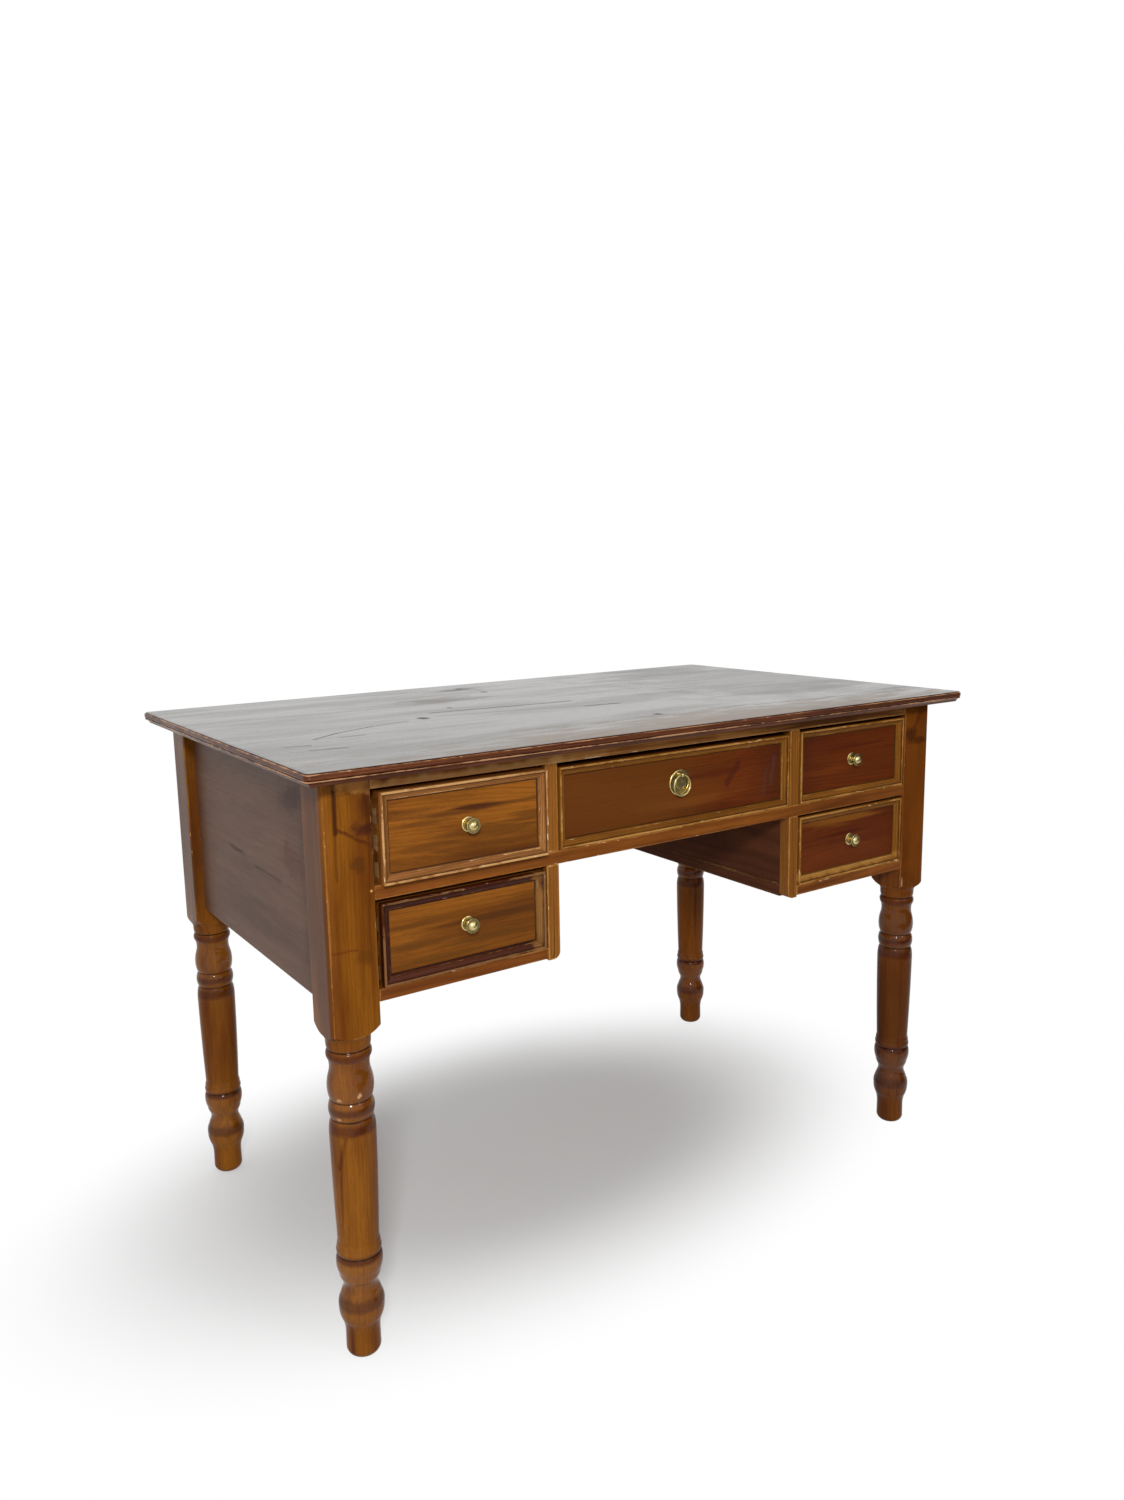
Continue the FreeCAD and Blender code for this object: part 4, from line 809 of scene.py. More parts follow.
def metal_finish(name, clean, tarnished, share, roughness):
    """A metal whose tarnish lies in patches; share is how much of it is tarnished.

    The noise keeps mostly between 0.4 and 0.7, so the bounds of a patch come down as share goes up.
    """
    finish = bpy.data.materials.new(name)
    finish.use_nodes = True
    tree = finish.node_tree
    tree.nodes.clear()
    place = add(tree, "TexCoord").outputs["Object"]
    broad = mottle(tree, place, (160.0,) * 3, 3.0, 0.6)
    fine = mottle(tree, place, (900.0,) * 3, 3.0, 0.6)
    level = maths(tree, "MULTIPLY_ADD", fine, 0.35, maths(tree, "MULTIPLY", broad, 0.65))
    patches = between(tree, level, 0.72 - share * 0.5, 0.92 - share * 0.5)
    colour = blend_colours(tree, patches, paint(clean), paint(tarnished))
    rough = maths(tree, "MULTIPLY_ADD", patches, tarnish_roughness, roughness)
    bump = add(tree, "Bump", {"Strength": 0.2, "Distance": 0.0002, "Height": fine})
    shader = add(tree, "BsdfPrincipled", {"Base Color": colour, "Roughness": rough, "Metallic": 1.0})
    tree.links.new(bump.outputs[0], shader.inputs["Normal"])
    add(tree, "OutputMaterial", {"Surface": shader.outputs[0]})
    return finish


brass_finish = metal_finish("aged_brass", "d3c083", "988550", 0.5, 0.30)
steel_finish = metal_finish("screw_steel", "8d8a86", "5c5148", 0.5, 0.38)
print("metals:", brass_finish.name, steel_finish.name)

# %% [markdown]
# ## From arrays to a piece
#
# All new shapes are worked out as whole arrays of points. This helper puts them into a mesh,
# keeps each point's place in the grain, its distance from the nearest worn edge and its depth
# in a groove, and turns the faces outwards.

# %% Make a piece
sharp_angle = math.radians(32)


def turn_outwards(mesh):
    """Makes all faces of closed shells point outwards."""
    work = bmesh.new()
    work.from_mesh(mesh)
    bmesh.ops.recalc_face_normals(work, faces=work.faces)
    work.to_mesh(mesh)
    work.free()


def make_piece(name, points, faces, measures, finish, stands_for, body="desk", trim=None):
    """A mesh object that rides on a body and stands for packed nodes.

    trim is a second finish and how many of the faces, from the first, have it.
    """
    mesh = bpy.data.meshes.new(name)
    mesh.from_pydata(points.tolist(), [], faces)
    for key, values in measures.items():
        kind = "FLOAT_VECTOR" if values.ndim == 2 else "FLOAT"
        layer = mesh.attributes.new(key, kind, "POINT")
        layer.data.foreach_set("vector" if values.ndim == 2 else "value", values.astype(np.float32).ravel())
    turn_outwards(mesh)
    mesh.shade_smooth()
    mesh.set_sharp_from_angle(angle=sharp_angle)
    mesh.materials.append(finish)
    if trim:
        mesh.materials.append(trim[0])
        index = np.zeros(len(faces), np.int32)
        index[:trim[1]] = 1
        mesh.polygons.foreach_set("material_index", index)
    piece = bpy.data.objects.new(name, mesh)
    scene.collection.objects.link(piece)
    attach(piece, body)
    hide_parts(*stands_for)
    return piece


def grid_faces(rows, columns, first=0):
    """Corner numbers of the squares of a grid whose last column joins its first."""
    row = np.arange(rows - 1)[:, None] * columns
    column = np.arange(columns)[None, :]
    after = (column + 1) % columns
    corners = (row + column, row + after, row + columns + after, row + columns + column)
    return (np.stack(corners, axis=-1).reshape(-1, 4) + first).tolist()


def end_caps(rows, columns, first=0):
    """Two flat faces that close the first and the last row."""
    start = list(range(first, first + columns))
    finish = list(range(first + (rows - 1) * columns, first + rows * columns))
    return [start[::-1], finish]


def along_grain(points, axis, pith):
    """Places with the grain's axis first, shifted by the board's own place in the trunk."""
    order = [axis] + [other for other in range(3) if other != axis]
    return points[:, order] + np.array(pith)


print("squares between two rows of three points:", grid_faces(2, 3))

# %% [markdown]
# ## Worn boards
#
# A board that has been used for a century has no sharp edge left. Its surface is a pile of
# rounded rectangles: seen along its thickness, each row is a rectangle drawn in a little at
# the faces and let out at the sides, so the rows round off every edge.

# %% Rounded rectangles
corner_steps = 4
corner_lead = 3 * MM
least_corner = 0.2 * MM


def rounded_rectangles(low, high, corner, inset, sides=(1, 1, 1, 1)):
    """Closed lines round a rectangle, one for each inset, as a (rows, points, 2) array.

    Corner radii are for left-low, right-low, right-high and left-high, less the inset. sides
    says how much of the inset the left, right, low and high side take. Each quarter circle is
    centre plus radius times (cosine, sine), with a lead point on the straight at both ends.
    """
    inset = np.asarray(inset, float)
    left, right = low[0] + inset * sides[0], high[0] - inset * sides[1]
    bottom, top = low[1] + inset * sides[2], high[1] - inset * sides[3]
    lines = []
    lead = np.minimum(corner_lead, 0.3 * np.minimum(right - left, top - bottom))[:, None, None]
    corners = ((left, bottom, 1, 1), (right, bottom, -1, 1), (right, top, -1, -1), (left, top, 1, -1))
    for turn, (x, y, sign_x, sign_y) in enumerate(corners):
        radius = np.maximum(corner[turn] - inset, least_corner)[:, None]
        angle = np.radians(180 + 90 * turn + np.linspace(0, 90, corner_steps + 1))[None, :]
        bend = np.stack((x[:, None] + sign_x * radius + radius * np.cos(angle),
                         y[:, None] + sign_y * radius + radius * np.sin(angle)), axis=-1)
        tangent = np.stack((-np.sin(angle), np.cos(angle)), axis=-1)
        before = bend[:, :1] - lead * tangent[:, :1]
        after = bend[:, -1:] + lead * tangent[:, -1:]
        lines.append(np.concatenate((before, bend, after), axis=1))
    return np.concatenate(lines, axis=1)


print("points round a rectangle:", 4 * (corner_steps + 3))

# %% [markdown]
# Rows close to an edge keep the shading of the flat parts flat, and tell the wear how near the
# edge is.

# %% Boards
board_rounding = 1 * MM
field_insets = np.array((16, 7, 2.5)) * MM
wall_depths = np.array((1.5, 4, 8)) * MM


def board_rows(thickness, narrow):
    """(inset, depth) from one face's field over its round edge, across, to the other face.

    The round edge is a quarter circle. narrow is the board's shorter side, and a narrow board's
    field rows move closer to its edge. The second value is the middle row of each round edge.
    """
    fields = field_insets * min(1.0, (narrow * 0.42 - board_rounding) / field_insets[0])
    angle = np.radians(np.linspace(0, 90, 5))
    edge = np.stack((board_rounding * (1 - np.sin(angle)), board_rounding * (1 - np.cos(angle))), axis=1)
    face = np.stack((fields + board_rounding, np.zeros(len(fields))), axis=1)
    wall = board_rounding + wall_depths
    wall = wall[wall < thickness * 0.45]
    wall = np.stack((np.zeros(len(wall)), wall), axis=1)
    half = np.concatenate((face, edge, wall))
    other = half[::-1] * (1, -1) + (0, thickness)
    edge_row = len(face) + len(angle) // 2
    return np.concatenate((half, other)), (edge_row, 2 * len(half) - 1 - edge_row)


def away_from_edges(rows, edges):
    """Distance along the rows from the nearest of the edge rows."""
    run = np.concatenate(([0], np.cumsum(np.linalg.norm(np.diff(rows, axis=0), axis=1))))
    return np.abs(run[:, None] - run[list(edges)][None, :]).min(axis=1)


def board_surface(low, high, deep, grain, pith, corners=(board_rounding,) * 4, first=0):
    """Points, faces and measures of a board between two corners.

    deep is the axis through its thickness and grain the axis along its grain.
    """
    low, high = np.array(low), np.array(high)
    flat_axes = [axis for axis in range(3) if axis != deep]
    span = high - low
    rows, edges = board_rows(span[deep], span[flat_axes].min())
    lines = rounded_rectangles(low[flat_axes], high[flat_axes], corners, rows[:, 0])
    points = np.empty((*lines.shape[:2], 3))
    points[..., flat_axes] = lines
    points[..., deep] = low[deep] + rows[:, 1:2]
    count, columns = lines.shape[:2]
    faces = grid_faces(count, columns, first) + end_caps(count, columns, first)
    edge = np.repeat(away_from_edges(rows, edges), columns)
    points = points.reshape(-1, 3)
    measures = {"grain": along_grain(points, grain, pith), "edge": edge, "recess": np.zeros(len(points))}
    return points, faces, measures


def make_boards(name, boards, finish, node):
    """One piece that stands for a packed node, made of boards given as board_surface's settings."""
    points, faces, measures = np.empty((0, 3)), [], {}
    for settings in boards:
        new_points, new_faces, new_measures = board_surface(first=len(points), **settings)
        points = np.concatenate((points, new_points))
        faces += new_faces
        measures = {key: np.concatenate((measures.get(key, value[:0]), value))
                    for key, value in new_measures.items()}
    return make_piece(name, points, faces, measures, finish, [node])


print("rows of a board 20 mm thick and 60 mm wide:", len(board_rows(20 * MM, 60 * MM)[0]))

# %% [markdown]
# ## Top
#
# Three wide boards are glued side by side. Their outer edge has a small step, a round nose,
# a thin bead and a hollow under it. The edge is one profile carried round the boards' outline,
# again as a pile of rounded rectangles, this time with a hollow in the pile. The glued sides
# take no inset, so the three boards still meet. Dirt has gathered in the grooves, the lit step
# is painted darker as shade, and a shallow crease is worn along the middle of the nose.

# %% Moulded edge
corner_radius = 8 * MM
nose_height = 6.8 * MM
nose_inset = 1.1 * MM
crease_depth = 0.6 * MM
step_inset = 2.4 * MM
step_drop = 1.5 * MM
bead_height = 3.4 * MM
bead_groove = 2.0 * MM
bead_inset = 0.5 * MM
cove_inset = 7.4 * MM
edge_ease = 0.35 * MM
fields_below = [(0.05, 0.0), (0.012, 0.0)]
fields_above = (4 * MM, 9 * MM, 20 * MM, 50 * MM)


def arc_points(start, middle, end, count):
    """Points from start to end on a parabola that passes through middle half way.

    It is (1-t) squared of start, twice t(1-t) of a pull point and t squared of end.
    """
    start, middle, end = (np.array(point, float) for point in (start, middle, end))
    pull = 2 * middle - (start + end) / 2
    t = np.linspace(0, 1, count)[:, None]
    return (1 - t) ** 2 * start + 2 * t * (1 - t) * pull + t ** 2 * end


def eased(line, amount):
    """The line with each inner corner cut back by amount and rounded with three points."""
    before, here, after = line[:-2], line[1:-1], line[2:]
    back, on = before - here, after - here
    length_back = np.linalg.norm(back, axis=1, keepdims=True)
    length_on = np.linalg.norm(on, axis=1, keepdims=True)
    start = here + back / length_back * np.minimum(amount, length_back * 0.45)
    end = here + on / length_on * np.minimum(amount, length_on * 0.45)
    rounded = np.stack((start, (start + 2 * here + end) / 4, end), axis=1).reshape(-1, 2)
    return np.concatenate((line[:1], rounded, line[-1:]))


def top_edge_rows(thickness):
    """(inset, height) of the moulded edge, from the field below to the field above."""
    step = thickness - step_drop
    nose_end = step - nose_height
    bead_end = nose_end - bead_height
    cove_top = (bead_groove + nose_inset, bead_end)
    cove_foot = (cove_inset, 0.0)
    cove_middle = ((cove_top[0] + cove_inset) / 2 + 0.4 * MM, bead_end / 2 + 0.9 * MM)
    bead_middle = (bead_inset, (bead_end + nose_end) / 2)
    lower_swell, crease, upper_swell = nose_end + nose_height * np.array((0.28, 0.55, 0.78))
    line = np.concatenate((
        fields_below,
        arc_points(cove_foot, cove_middle, cove_top, 6),
        arc_points((bead_groove, bead_end), bead_middle, (bead_groove, nose_end), 7),
        arc_points((nose_inset, nose_end), (0.0, lower_swell), (crease_depth, crease), 6),
        arc_points((crease_depth, crease), (0.0, upper_swell), (nose_inset, step), 6)[1:],
        [(step_inset, step), (step_inset, thickness)],
        [(field, thickness) for field in fields_above],
    ))
    return eased(line, edge_ease)


print("rows of the moulded edge:", len(top_edge_rows(17 * MM)))

# %% [markdown]
# The wear and the dirt need two measures of each row: how far it is from a crest that hands
# rub, and how deep it lies in a groove. The crests are the bead and the nose's upper edge. The
# rows of the step get a depth as well, which paints shade on the lit step with the dirt colour.

# %% Moulded top boards
groove_span = 3 * MM
groove_full = 0.8 * MM
nose_edge_rows = 6
# Painted shade: depths that darken the four rows below the step's top like dirt.
step_painted_shade = (0.6, 1.0, 0.8, 0.45)
seam = 0.2 * MM


def groove_depth(rows, full):
    """0 on the outermost parts of a profile, rising to 1 in its grooves at that full depth.

    A groove is a point with the profile standing further out a little above and below it.
    """
    inset, height = rows[:, 0], rows[:, 1]
    rise = height[None, :] - height[:, None]
    above = np.where((rise >= 0) & (rise < groove_span), inset[None, :], np.inf).min(axis=1)
    below = np.where((rise <= 0) & (rise > -groove_span), inset[None, :], np.inf).min(axis=1)
    return np.clip((inset - np.maximum(above, below)) / full, 0, 1)


def top_board(name, sides, corner, pith):
    """One moulded board; sides says which of left, right, front and rear are moulded."""
    low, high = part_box(name)
    thickness = high.z - low.z
    rows = top_edge_rows(thickness)
    lines = rounded_rectangles(low[:2], high[:2], corner, rows[:, 0], sides)
    count, columns = lines.shape[:2]
    heights = np.broadcast_to(low.z + rows[:, 1, None, None], (count, columns, 1))
    points = np.concatenate((lines, heights), axis=2).reshape(-1, 3)
    moulded = np.flatnonzero(rows[:, 0] < step_inset + 0.2 * MM)
    bead = moulded[rows[moulded, 1] < thickness - step_drop - nose_height]
    step_top = moulded[-1]
    crests = [bead[np.argmin(rows[bead, 0])], step_top - nose_edge_rows]
    edge = np.repeat(away_from_edges(rows, crests), columns)
    hollow = groove_depth(rows, groove_full) * (rows[:, 0] < cove_inset)
    # Painted shade on the step, carried in the same measure as the groove dirt.
    hollow[step_top - len(step_painted_shade):step_top] = step_painted_shade
    recess = np.repeat(hollow, columns)
    measures = {"grain": along_grain(points, 0, pith), "edge": edge, "recess": recess}
    faces = grid_faces(count, columns) + end_caps(count, columns)
    trim = (rim_finish, step_top * columns)
    return make_piece("moulded_" + name, points, faces, measures, top_finish, [name], trim=trim)


top_board("top_board_front", (1, 1, 1, 0), (corner_radius, corner_radius, seam, seam), (0.2, 0.26, -0.86))
top_board("top_board_middle", (1, 1, 0, 0), (seam,) * 4, (2.7, 0.03, -0.70))
top_board("top_board_rear", (1, 1, 0, 1), (seam, seam, corner_radius, corner_radius), (5.1, -0.20, -0.84))

# %% [markdown]
# ## Legs
#
# Each leg is one stick: a square post above, with one well-rounded outer corner, and a
# turned part below. A surface round the stick's own axis suits both: each point is an angle,
# a height and a reach. The post's reach is that of a rounded square, the shoulder's is
# drawn in from the square to a circle, and the turned part's comes from the packed leg's own
# rings, rubbed a little slimmer beside its creases.

# %% Post and shoulder
leg_half = 31.5 * MM
post_length = 323 * MM
post_rows = 24
outer_corner = 10 * MM
worn_corner = 2.5 * MM
shoulder_height = 12 * MM
shoulder_rows = 7
top_ease = 0.6 * MM
corners_at = 45 + 90 * np.arange(4)[:, None]
close_by = (corners_at + np.linspace(-4, 4, 11)).ravel()
leg_angle = np.radians(np.unique(np.round(np.concatenate((np.arange(0, 360, 4.0), close_by)), 3)))


def square_reach(angle, half, rounding):
    """How far a square with rounded corners reaches from its middle in each direction.

    A straight side is met at half over the larger of cosine and sine. Where that point lies
    past the start of the round corner, the reach is the far crossing with the corner's circle.
    """
    cosine, sine = np.abs(np.cos(angle)), np.abs(np.sin(angle))
    straight = half / np.maximum(cosine, sine)
    middle = half - rounding
    lean = middle * (cosine + sine)
    curved = lean + np.sqrt(np.maximum(lean ** 2 - 2 * middle ** 2 + rounding ** 2, 0))
    return np.where(straight * np.minimum(cosine, sine) > middle, curved, straight)


def post_surface(square, foot, top):
    """Reach and height of the post and its shoulder, from the top down.

    The shoulder swells from a circle to the square: its reach is the circle's plus what the
    square adds times the share of the way up, to the power of 0.7, and it ends higher where the
    square reaches further. The topmost row is drawn in a little.
    """
    rise = np.clip((square - leg_half) / (leg_half * (math.sqrt(2) - 1)), 0.02, 1) ** 1.5
    share = np.linspace(0, 1, shoulder_rows)[:, None]
    shoulder = foot + rise * shoulder_height * share
    swell = leg_half + (square - leg_half) * share ** 0.7
    levels = np.sort(np.concatenate((np.linspace(0, 1, post_rows), [0.985])))[1:, None]
    above = shoulder[-1] + (top - shoulder[-1]) * levels
    ease = np.where(levels > 0.999, top_ease, 0.0)
    reach = np.concatenate(((square - ease)[::-1], swell[::-1]))
    height = np.concatenate((above[::-1], shoulder[::-1]))
    return reach, height


print("points round a leg:", len(leg_angle))

# %% [markdown]
# The packed leg is a mesh of triangles, but its points lie on level rings. The widest reach at
# each height gives back the profile that the turner's chisel followed.

# %% Profile of the turned part
row_step = 1.5 * MM
crease_full = 0.6 * MM
crease_fall = 1.1 * MM
crease_spread = 2.6 * MM


def packed_rings(node, post_foot):
    """(radius, height) of a packed leg's turned part, from the post's foot down to the floor."""
    places = np.empty(len(cad_nodes[node].data.vertices) * 3, np.float32)
    cad_nodes[node].data.vertices.foreach_get("co", places)
    places = places.reshape(-1, 3).astype(float)
    low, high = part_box(node)
    radius = np.hypot(places[:, 0] - (low.x + high.x) / 2, places[:, 1] - (low.y + high.y) / 2)
    turned = places[:, 2] < post_foot - 0.1 * MM
    height = np.round(places[turned, 2], 5)
    levels, which = np.unique(-height, return_inverse=True)
    widest = np.zeros(len(levels))
    np.maximum.at(widest, which, radius[turned])
    return np.stack((widest, -levels), axis=1)


def with_more_rows(line, step):
    """The same line with points put in so that none are further apart than step."""
    length = np.linalg.norm(np.diff(line, axis=0), axis=1)
    pieces = np.maximum(np.ceil(length / step).astype(int), 1)
    start = np.repeat(np.arange(len(pieces)), pieces)
    passed = np.repeat(np.cumsum(pieces) - pieces, pieces)
    share = (np.arange(len(start)) - passed) / np.repeat(pieces, pieces)
    inner = line[start] + (line[start + 1] - line[start]) * share[:, None]
    return np.concatenate((inner, line[-1:]))


def leg_profile(node, post_foot):
    """(radius, height) of the turned part, and how deep each row lies in a crease, from 0 to 1.

    Beside a crease the wood is slimmer by crease_fall times e to the power of minus the distance
    over crease_spread.
    """
    profile = with_more_rows(packed_rings(node, post_foot), row_step)
    crease = groove_depth(np.stack((leg_half - profile[:, 0], profile[:, 1]), axis=1), crease_full)
    from_crease = np.abs(profile[:, 1:] - profile[crease > 0.5, 1]).min(axis=1)
    profile[:, 0] -= crease_fall * np.exp(-from_crease / crease_spread)
    return profile, crease


turned_rows = leg_profile("leg_front_left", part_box("leg_front_left")[1].z - post_length)[0]
print("rows of the turned part:", len(turned_rows), "from", turned_rows[0], "to", turned_rows[-1])

# %% [markdown]
# Worn edges are the corners of the post and the rim at its foot. The turned part gets its chips
# from the marks and its dirt from the creases instead.

# %% Whole legs
unworn = 10 * MM


def turned_leg(name, side, end, pith, finish):
    """The whole leg as one closed surface; side and end say which corner it stands at."""
    low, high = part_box(name)
    axis_x, axis_y = (low.x + high.x) / 2, (low.y + high.y) / 2
    post_foot = high.z - post_length
    cosine, sine = np.cos(leg_angle), np.sin(leg_angle)
    is_outer = (np.sign(cosine) == side) & (np.sign(sine) == end)
    square = square_reach(leg_angle, leg_half, np.where(is_outer, outer_corner, worn_corner))
    post_reach, post_height = post_surface(square, post_foot, high.z)
    profile, crease = leg_profile(name, post_foot)
    reach = np.concatenate((post_reach, np.repeat(profile[:, :1], len(leg_angle), axis=1)))
    height = np.concatenate((post_height, np.repeat(profile[:, 1:], len(leg_angle), axis=1)))
    points = np.stack((axis_x + reach * cosine, axis_y + reach * sine, height), axis=-1).reshape(-1, 3)
    slant = np.abs(np.tan(leg_angle))
    from_corner = leg_half * (1 - np.minimum(slant, 1 / np.maximum(slant, 1e-6)))
    edge = np.full(reach.shape, unworn)
    edge[:len(post_reach)] = np.minimum(from_corner, np.abs(post_height - post_foot) + 0.5 * MM)
    recess = np.zeros(reach.shape)
    recess[len(post_reach):] = crease[:, None]
    local = points - np.array((axis_x, axis_y, 0.0))
    measures = {"grain": along_grain(local, 2, pith), "edge": edge.ravel(), "recess": recess.ravel()}
    faces = grid_faces(*reach.shape) + end_caps(*reach.shape)
    return make_piece("turned_" + name, points, faces, measures, finish, [name])


turned_leg("leg_front_left", -1, -1, (0.0, 0.035, 0.020), leg_finish)
turned_leg("leg_front_right", 1, -1, (3.0, -0.030, 0.030), shaded_right_leg_finish)
turned_leg("leg_rear_left", -1, 1, (6.0, 0.020, -0.040), leg_finish)
turned_leg("leg_rear_right", 1, 1, (9.0, -0.040, -0.010), shaded_right_leg_finish)

# %% [markdown]
# ## Rails, stiles and panels
#
# The front is a frame of three rails and two stiles between the posts. They are worn boards
# that fill the packed pieces' boxes, but for the tenons, which are hidden in the posts.

# %% Rails
post_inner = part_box("leg_front_right")[0].x
stile_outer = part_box("stile_right")[1].x


def board_in(node, deep, grain, pith, **spans):
    """Settings for a board that fills a packed node's box, but for the spans given as x, y or z."""
    low, high = [list(corner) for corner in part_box(node)]
    for axis, span in spans.items():
        low["xyz".index(axis)], high["xyz".index(axis)] = span
    return {"low": low, "high": high, "deep": deep, "grain": grain, "pith": pith}


rails = {
    "top_rail": ((-post_inner, post_inner), (0.4, 0.33, -0.70), lit_top_rail_finish),
    "middle_rail": ((-post_inner, post_inner), (1.9, 0.35, -0.60), frame_finish),
    "bottom_rail_left": ((-post_inner, -stile_outer), (3.3, 0.34, -0.46), frame_finish),
    "bottom_rail_right": ((stile_outer, post_inner), (4.4, 0.33, -0.50), frame_finish),
}
for node, (span, pith, finish) in rails.items():
    make_boards("worn_" + node, [board_in(node, 1, 0, pith, x=span)], finish, node)
print("rails:", list(rails))

# %% [markdown]
# A stile is cut where the middle rail passes, and its foot is rounded on the kneehole side.

# %% Stiles
stile_foot_radius = 10 * MM
middle_rail_low, middle_rail_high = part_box("middle_rail")
top_rail_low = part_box("top_rail")[0]


def stile_lengths(node, rounded, pith):
    """Settings for the stile above and below the middle rail.

    rounded says which corner of the foot is rounded: 0 for the left one, 1 for the right one.
    """
    corners = [board_rounding] * 4
    corners[rounded] = stile_foot_radius
    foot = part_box(node)[0]
    upper = board_in(node, 1, 2, pith, z=(middle_rail_high.z, top_rail_low.z))
    lower = board_in(node, 1, 2, pith, z=(foot.z, middle_rail_low.z))
    return [upper, {**lower, "corners": corners}]


stiles = {
    "stile_left": stile_lengths("stile_left", 1, (1.1, 0.26, 0.34)),
    "stile_right": stile_lengths("stile_right", 0, (2.3, -0.20, 0.33)),
}
for node, lengths in stiles.items():
    make_boards("worn_" + node, lengths, stile_finish, node)
print("stiles:", list(stiles))

# %% [markdown]
# Dull side panels and a back panel close the case. Two partitions wall the kneehole, each on a
# rail of its own that runs from front to back.

# %% Panels and partitions
between_posts = (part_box("leg_front_left")[1].y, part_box("leg_rear_left")[0].y)
panels = {
    "side_panel_left": board_in("side_panel_left", 0, 1, (0.7, 0.62, -0.52), y=between_posts),
    "side_panel_right": board_in("side_panel_right", 0, 1, (2.7, -0.60, -0.66), y=between_posts),
    "rear_panel": board_in("rear_panel", 1, 0, (4.2, -0.25, -0.58), x=(-post_inner, post_inner)),
}
for node, board in panels.items():
    make_boards("dull_" + node, [board], panel_finish, node)
for side, shift, away in (("left", 0.0, 0.30), ("right", 1.7, -0.30)):
    wall, rail = "partition_" + side, "partition_rail_" + side
    wall_board = board_in(wall, 0, 1, (shift, away, -0.55))
    rail_board = board_in(rail, 2, 1, (shift + 0.5, away, -0.42))
    make_boards("kneehole_" + wall, [wall_board], inside_finish, wall)
    make_boards("kneehole_" + rail, [rail_board], inside_finish, rail)

# %% [markdown]
# ## Drawer mouldings
#
# Each drawer front is framed by four mitred lengths of moulding: a flat fillet outside, a
# small step, a hollow slope down to the panel and a thin bead. The profile is drawn once and
# carried along each side of the front. Its ends lie on the mitre planes, because a point that
# stands further in on the profile also starts and ends further in.

# %% Moulding profile
moulding_width = 13 * MM
moulding_height = 9 * MM
fillet_width = 3 * MM
quirk_depth = 1 * MM
slope_middle = (6.4 * MM, 4.9 * MM)
slope_end = 10.4 * MM
slope_low = 3.4 * MM
bead_high = 1.6 * MM
bead_middle = (12.0 * MM, 1.4 * MM)
moulding_ease = 0.5 * MM
reed_width = 2.3 * MM


def moulding_profile():
    """Closed (inset, height) line of the moulding, starting at its outer foot."""
    slope_top = moulding_height - quirk_depth
    fillet = (0.0, fillet_width * 0.5, fillet_width)
    line = np.concatenate((
        [(0.0, 0.0), (0.0, moulding_height * 0.5)],
        [(inset, moulding_height) for inset in fillet],
        arc_points((fillet_width, slope_top), slope_middle, (slope_end, slope_low), 20),
        arc_points((slope_end, bead_high), bead_middle, (moulding_width, 0.0), 5),
    ))
    return eased(line, moulding_ease)


def moulding_measures(inset, out):
    """How far each row is from a rubbed edge, and how deep it lies, from 0 to 1.

    The rubbed edges are the fillet, at the full height, and the lower end of the slope. The deep
    places are the step beside the fillet, the inner and the outer foot, and the lines between
    the reeds of the slope, one every reed_width.
    """
    below_fillet = np.clip((moulding_height - out) / (2 * MM), 0, 1)
    to_slope_end = np.abs(inset - slope_end) + np.abs(out - slope_low)
    edge = np.minimum(0.3 * MM + 4 * MM * below_fillet, 1 * MM + to_slope_end)
    step = np.exp(-((inset - fillet_width - 0.3 * MM) / (0.7 * MM)) ** 2)
    step = step * (out < moulding_height - 0.3 * MM)
    inner_foot = np.clip((inset - slope_end) / (1.5 * MM), 0, 1)
    outer_foot = np.clip(1 - out / (3 * MM), 0, 1) * (inset < 1 * MM)
    reeds = 0.8 * np.exp(-((np.sin(math.pi * inset / reed_width)) / 0.45) ** 2)
    reeds = reeds * ((inset > fillet_width) & (inset < slope_end))
    return edge, np.maximum.reduce((step, inner_foot, outer_foot, reeds))


profile = moulding_profile()
print("moulding profile:", len(profile), "points")

# %% [markdown]
# A length is the profile at eleven places between two corners, with the outer ones close to the
# mitres. Every length is a hair shorter than its side, which leaves the mitres visible, and
# takes its grain from another part of the wood.

# %% Mitred mouldings
mitre_gap = 0.12 * MM
pith_step = 0.37


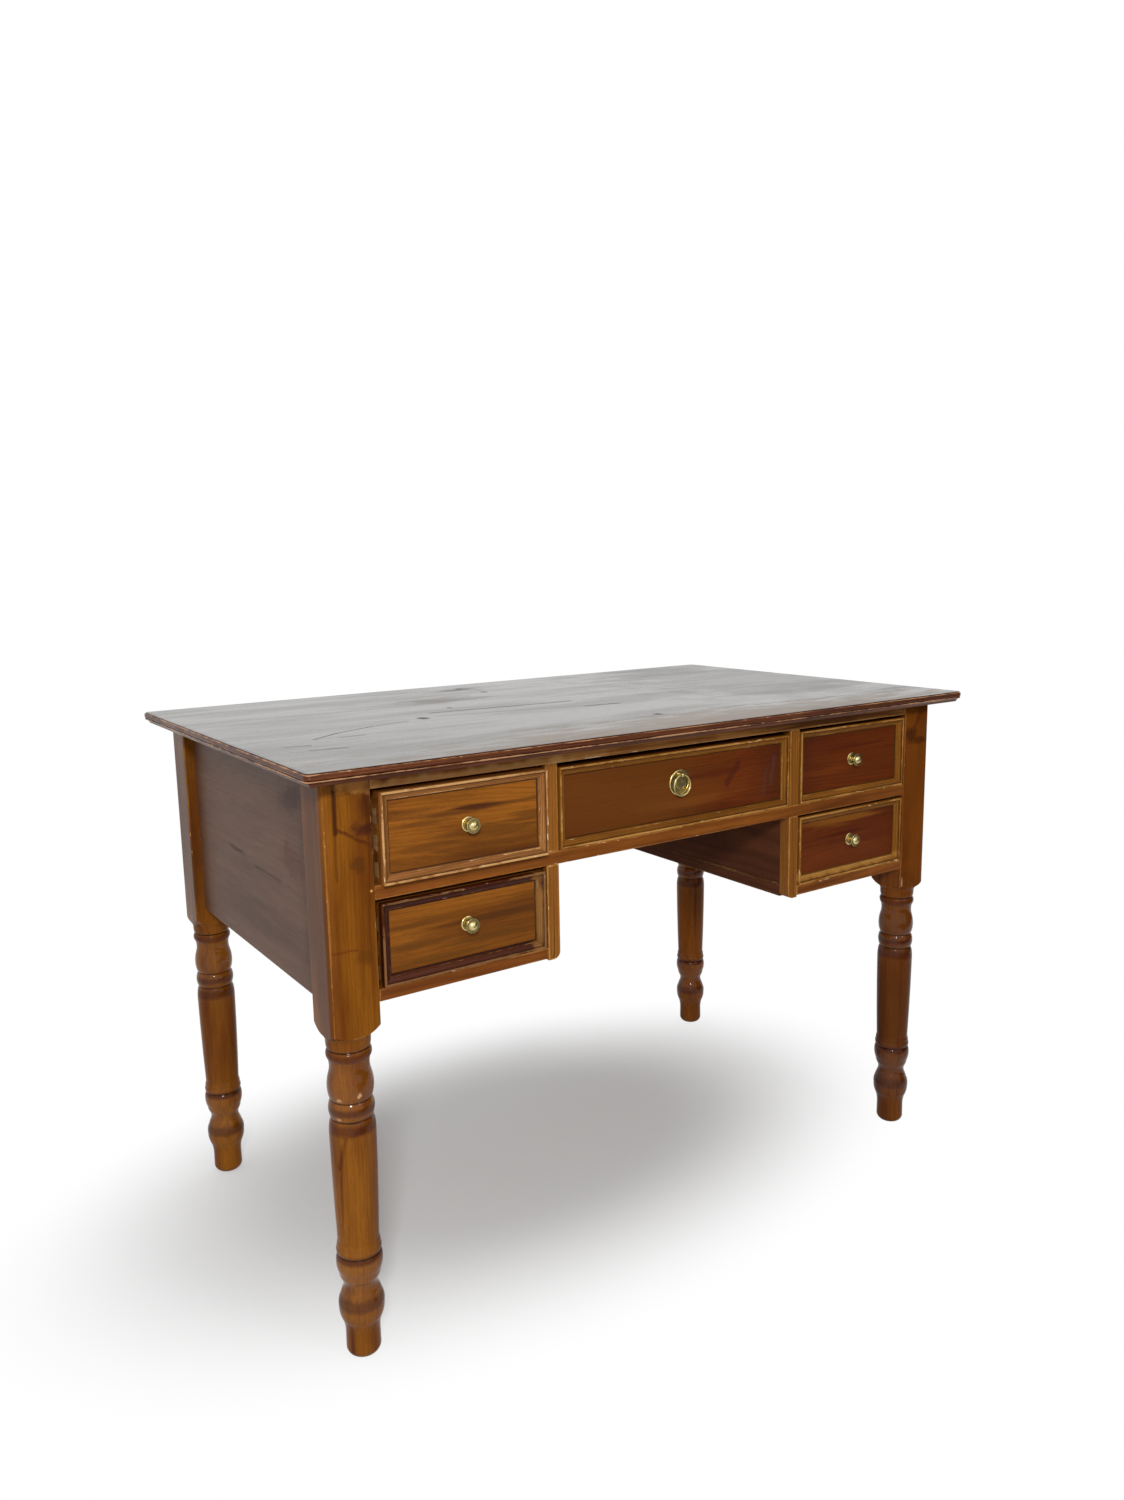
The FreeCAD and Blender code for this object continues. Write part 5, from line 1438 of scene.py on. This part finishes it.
def moulding_surface(low, high, profile, pith):
    """Points, faces and measures of the four lengths round a drawer front.

    The moulding stands on the plane of high.y and comes forward. A length runs from one corner
    of the rectangle drawn in by the inset to the next.
    """
    inset, out = profile[:, 0], profile[:, 1]
    edge, recess = moulding_measures(inset, out)
    corners = [(low.x + inset, low.z + inset), (high.x - inset, low.z + inset),
               (high.x - inset, high.z - inset), (low.x + inset, high.z - inset)]
    share = np.concatenate(([0.0], np.linspace(0.01, 0.99, 9), [1.0]))[:, None, None]
    shape = (share.size, len(profile))
    y = np.broadcast_to(high.y - out, shape)
    lengths, faces, grain = [], [], []
    for turn in range(4):
        start = np.stack(corners[turn], axis=1)
        run = np.stack(corners[(turn + 1) % 4], axis=1) - start
        gap = (0.5 - share) * 2 * mitre_gap / np.linalg.norm(run, axis=1)[:, None]
        flat = start + run * (share + gap)
        points = np.stack((flat[..., 0], y, flat[..., 1]), axis=-1).reshape(-1, 3)
        first = turn * len(points)
        faces += grid_faces(*shape, first) + end_caps(*shape, first)
        lengths.append(points)
        grain.append(along_grain(points, 0 if turn % 2 == 0 else 2, np.array(pith) + turn * pith_step))
    rows = 4 * share.size
    measures = {"grain": np.concatenate(grain), "edge": np.tile(edge, rows), "recess": np.tile(recess, rows)}
    return np.concatenate(lengths), faces, measures


mouldings = {
    "drawer_upper_left": gold_moulding,
    "drawer_lower_left": maroon_moulding,
    "drawer_middle": olive_moulding,
    "drawer_upper_right": olive_moulding,
    "drawer_lower_right": olive_moulding,
}
for index, (drawer, finish) in enumerate(mouldings.items()):
    node = drawer + "_moulding"
    low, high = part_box(node)
    points, faces, measures = moulding_surface(low, high, profile, (index * 1.3, 0.33, -0.66))
    make_piece("mitred_" + drawer, points, faces, measures, finish, [node], body=drawer)

# %% [markdown]
# ## Pieces that keep their packed shape
#
# The drawer boards have dovetails cut to fit their sides, so they stay as they are. So do the
# bare wood inside the desk, the steel screws and the turned brass.

# %% Finishes of the packed pieces


def set_finish(node, finish):
    """Gives a packed node one finish."""
    cad_nodes[node].material_slots[0].material = finish


for drawer in mouldings:
    on_left = drawer.endswith("_left")
    set_finish(drawer + "_front", amber_front if on_left else red_front)
    set_finish(drawer + "_sides", bare_deep)
    set_finish(drawer + "_back", bare_across)
    set_finish(drawer + "_bottom", bare_across)
for node in ("drawer_runners", "drawer_guides", "drawer_kickers"):
    set_finish(node, bare_deep)
set_finish("top_screws", steel_finish)
brass_nodes = [node for node in cad_nodes
               if node.startswith("pull_") or node.endswith(("_knob", "_rosette"))]
for node in brass_nodes:
    set_finish(node, brass_finish)
print("brass pieces:", brass_nodes)

# %% [markdown]
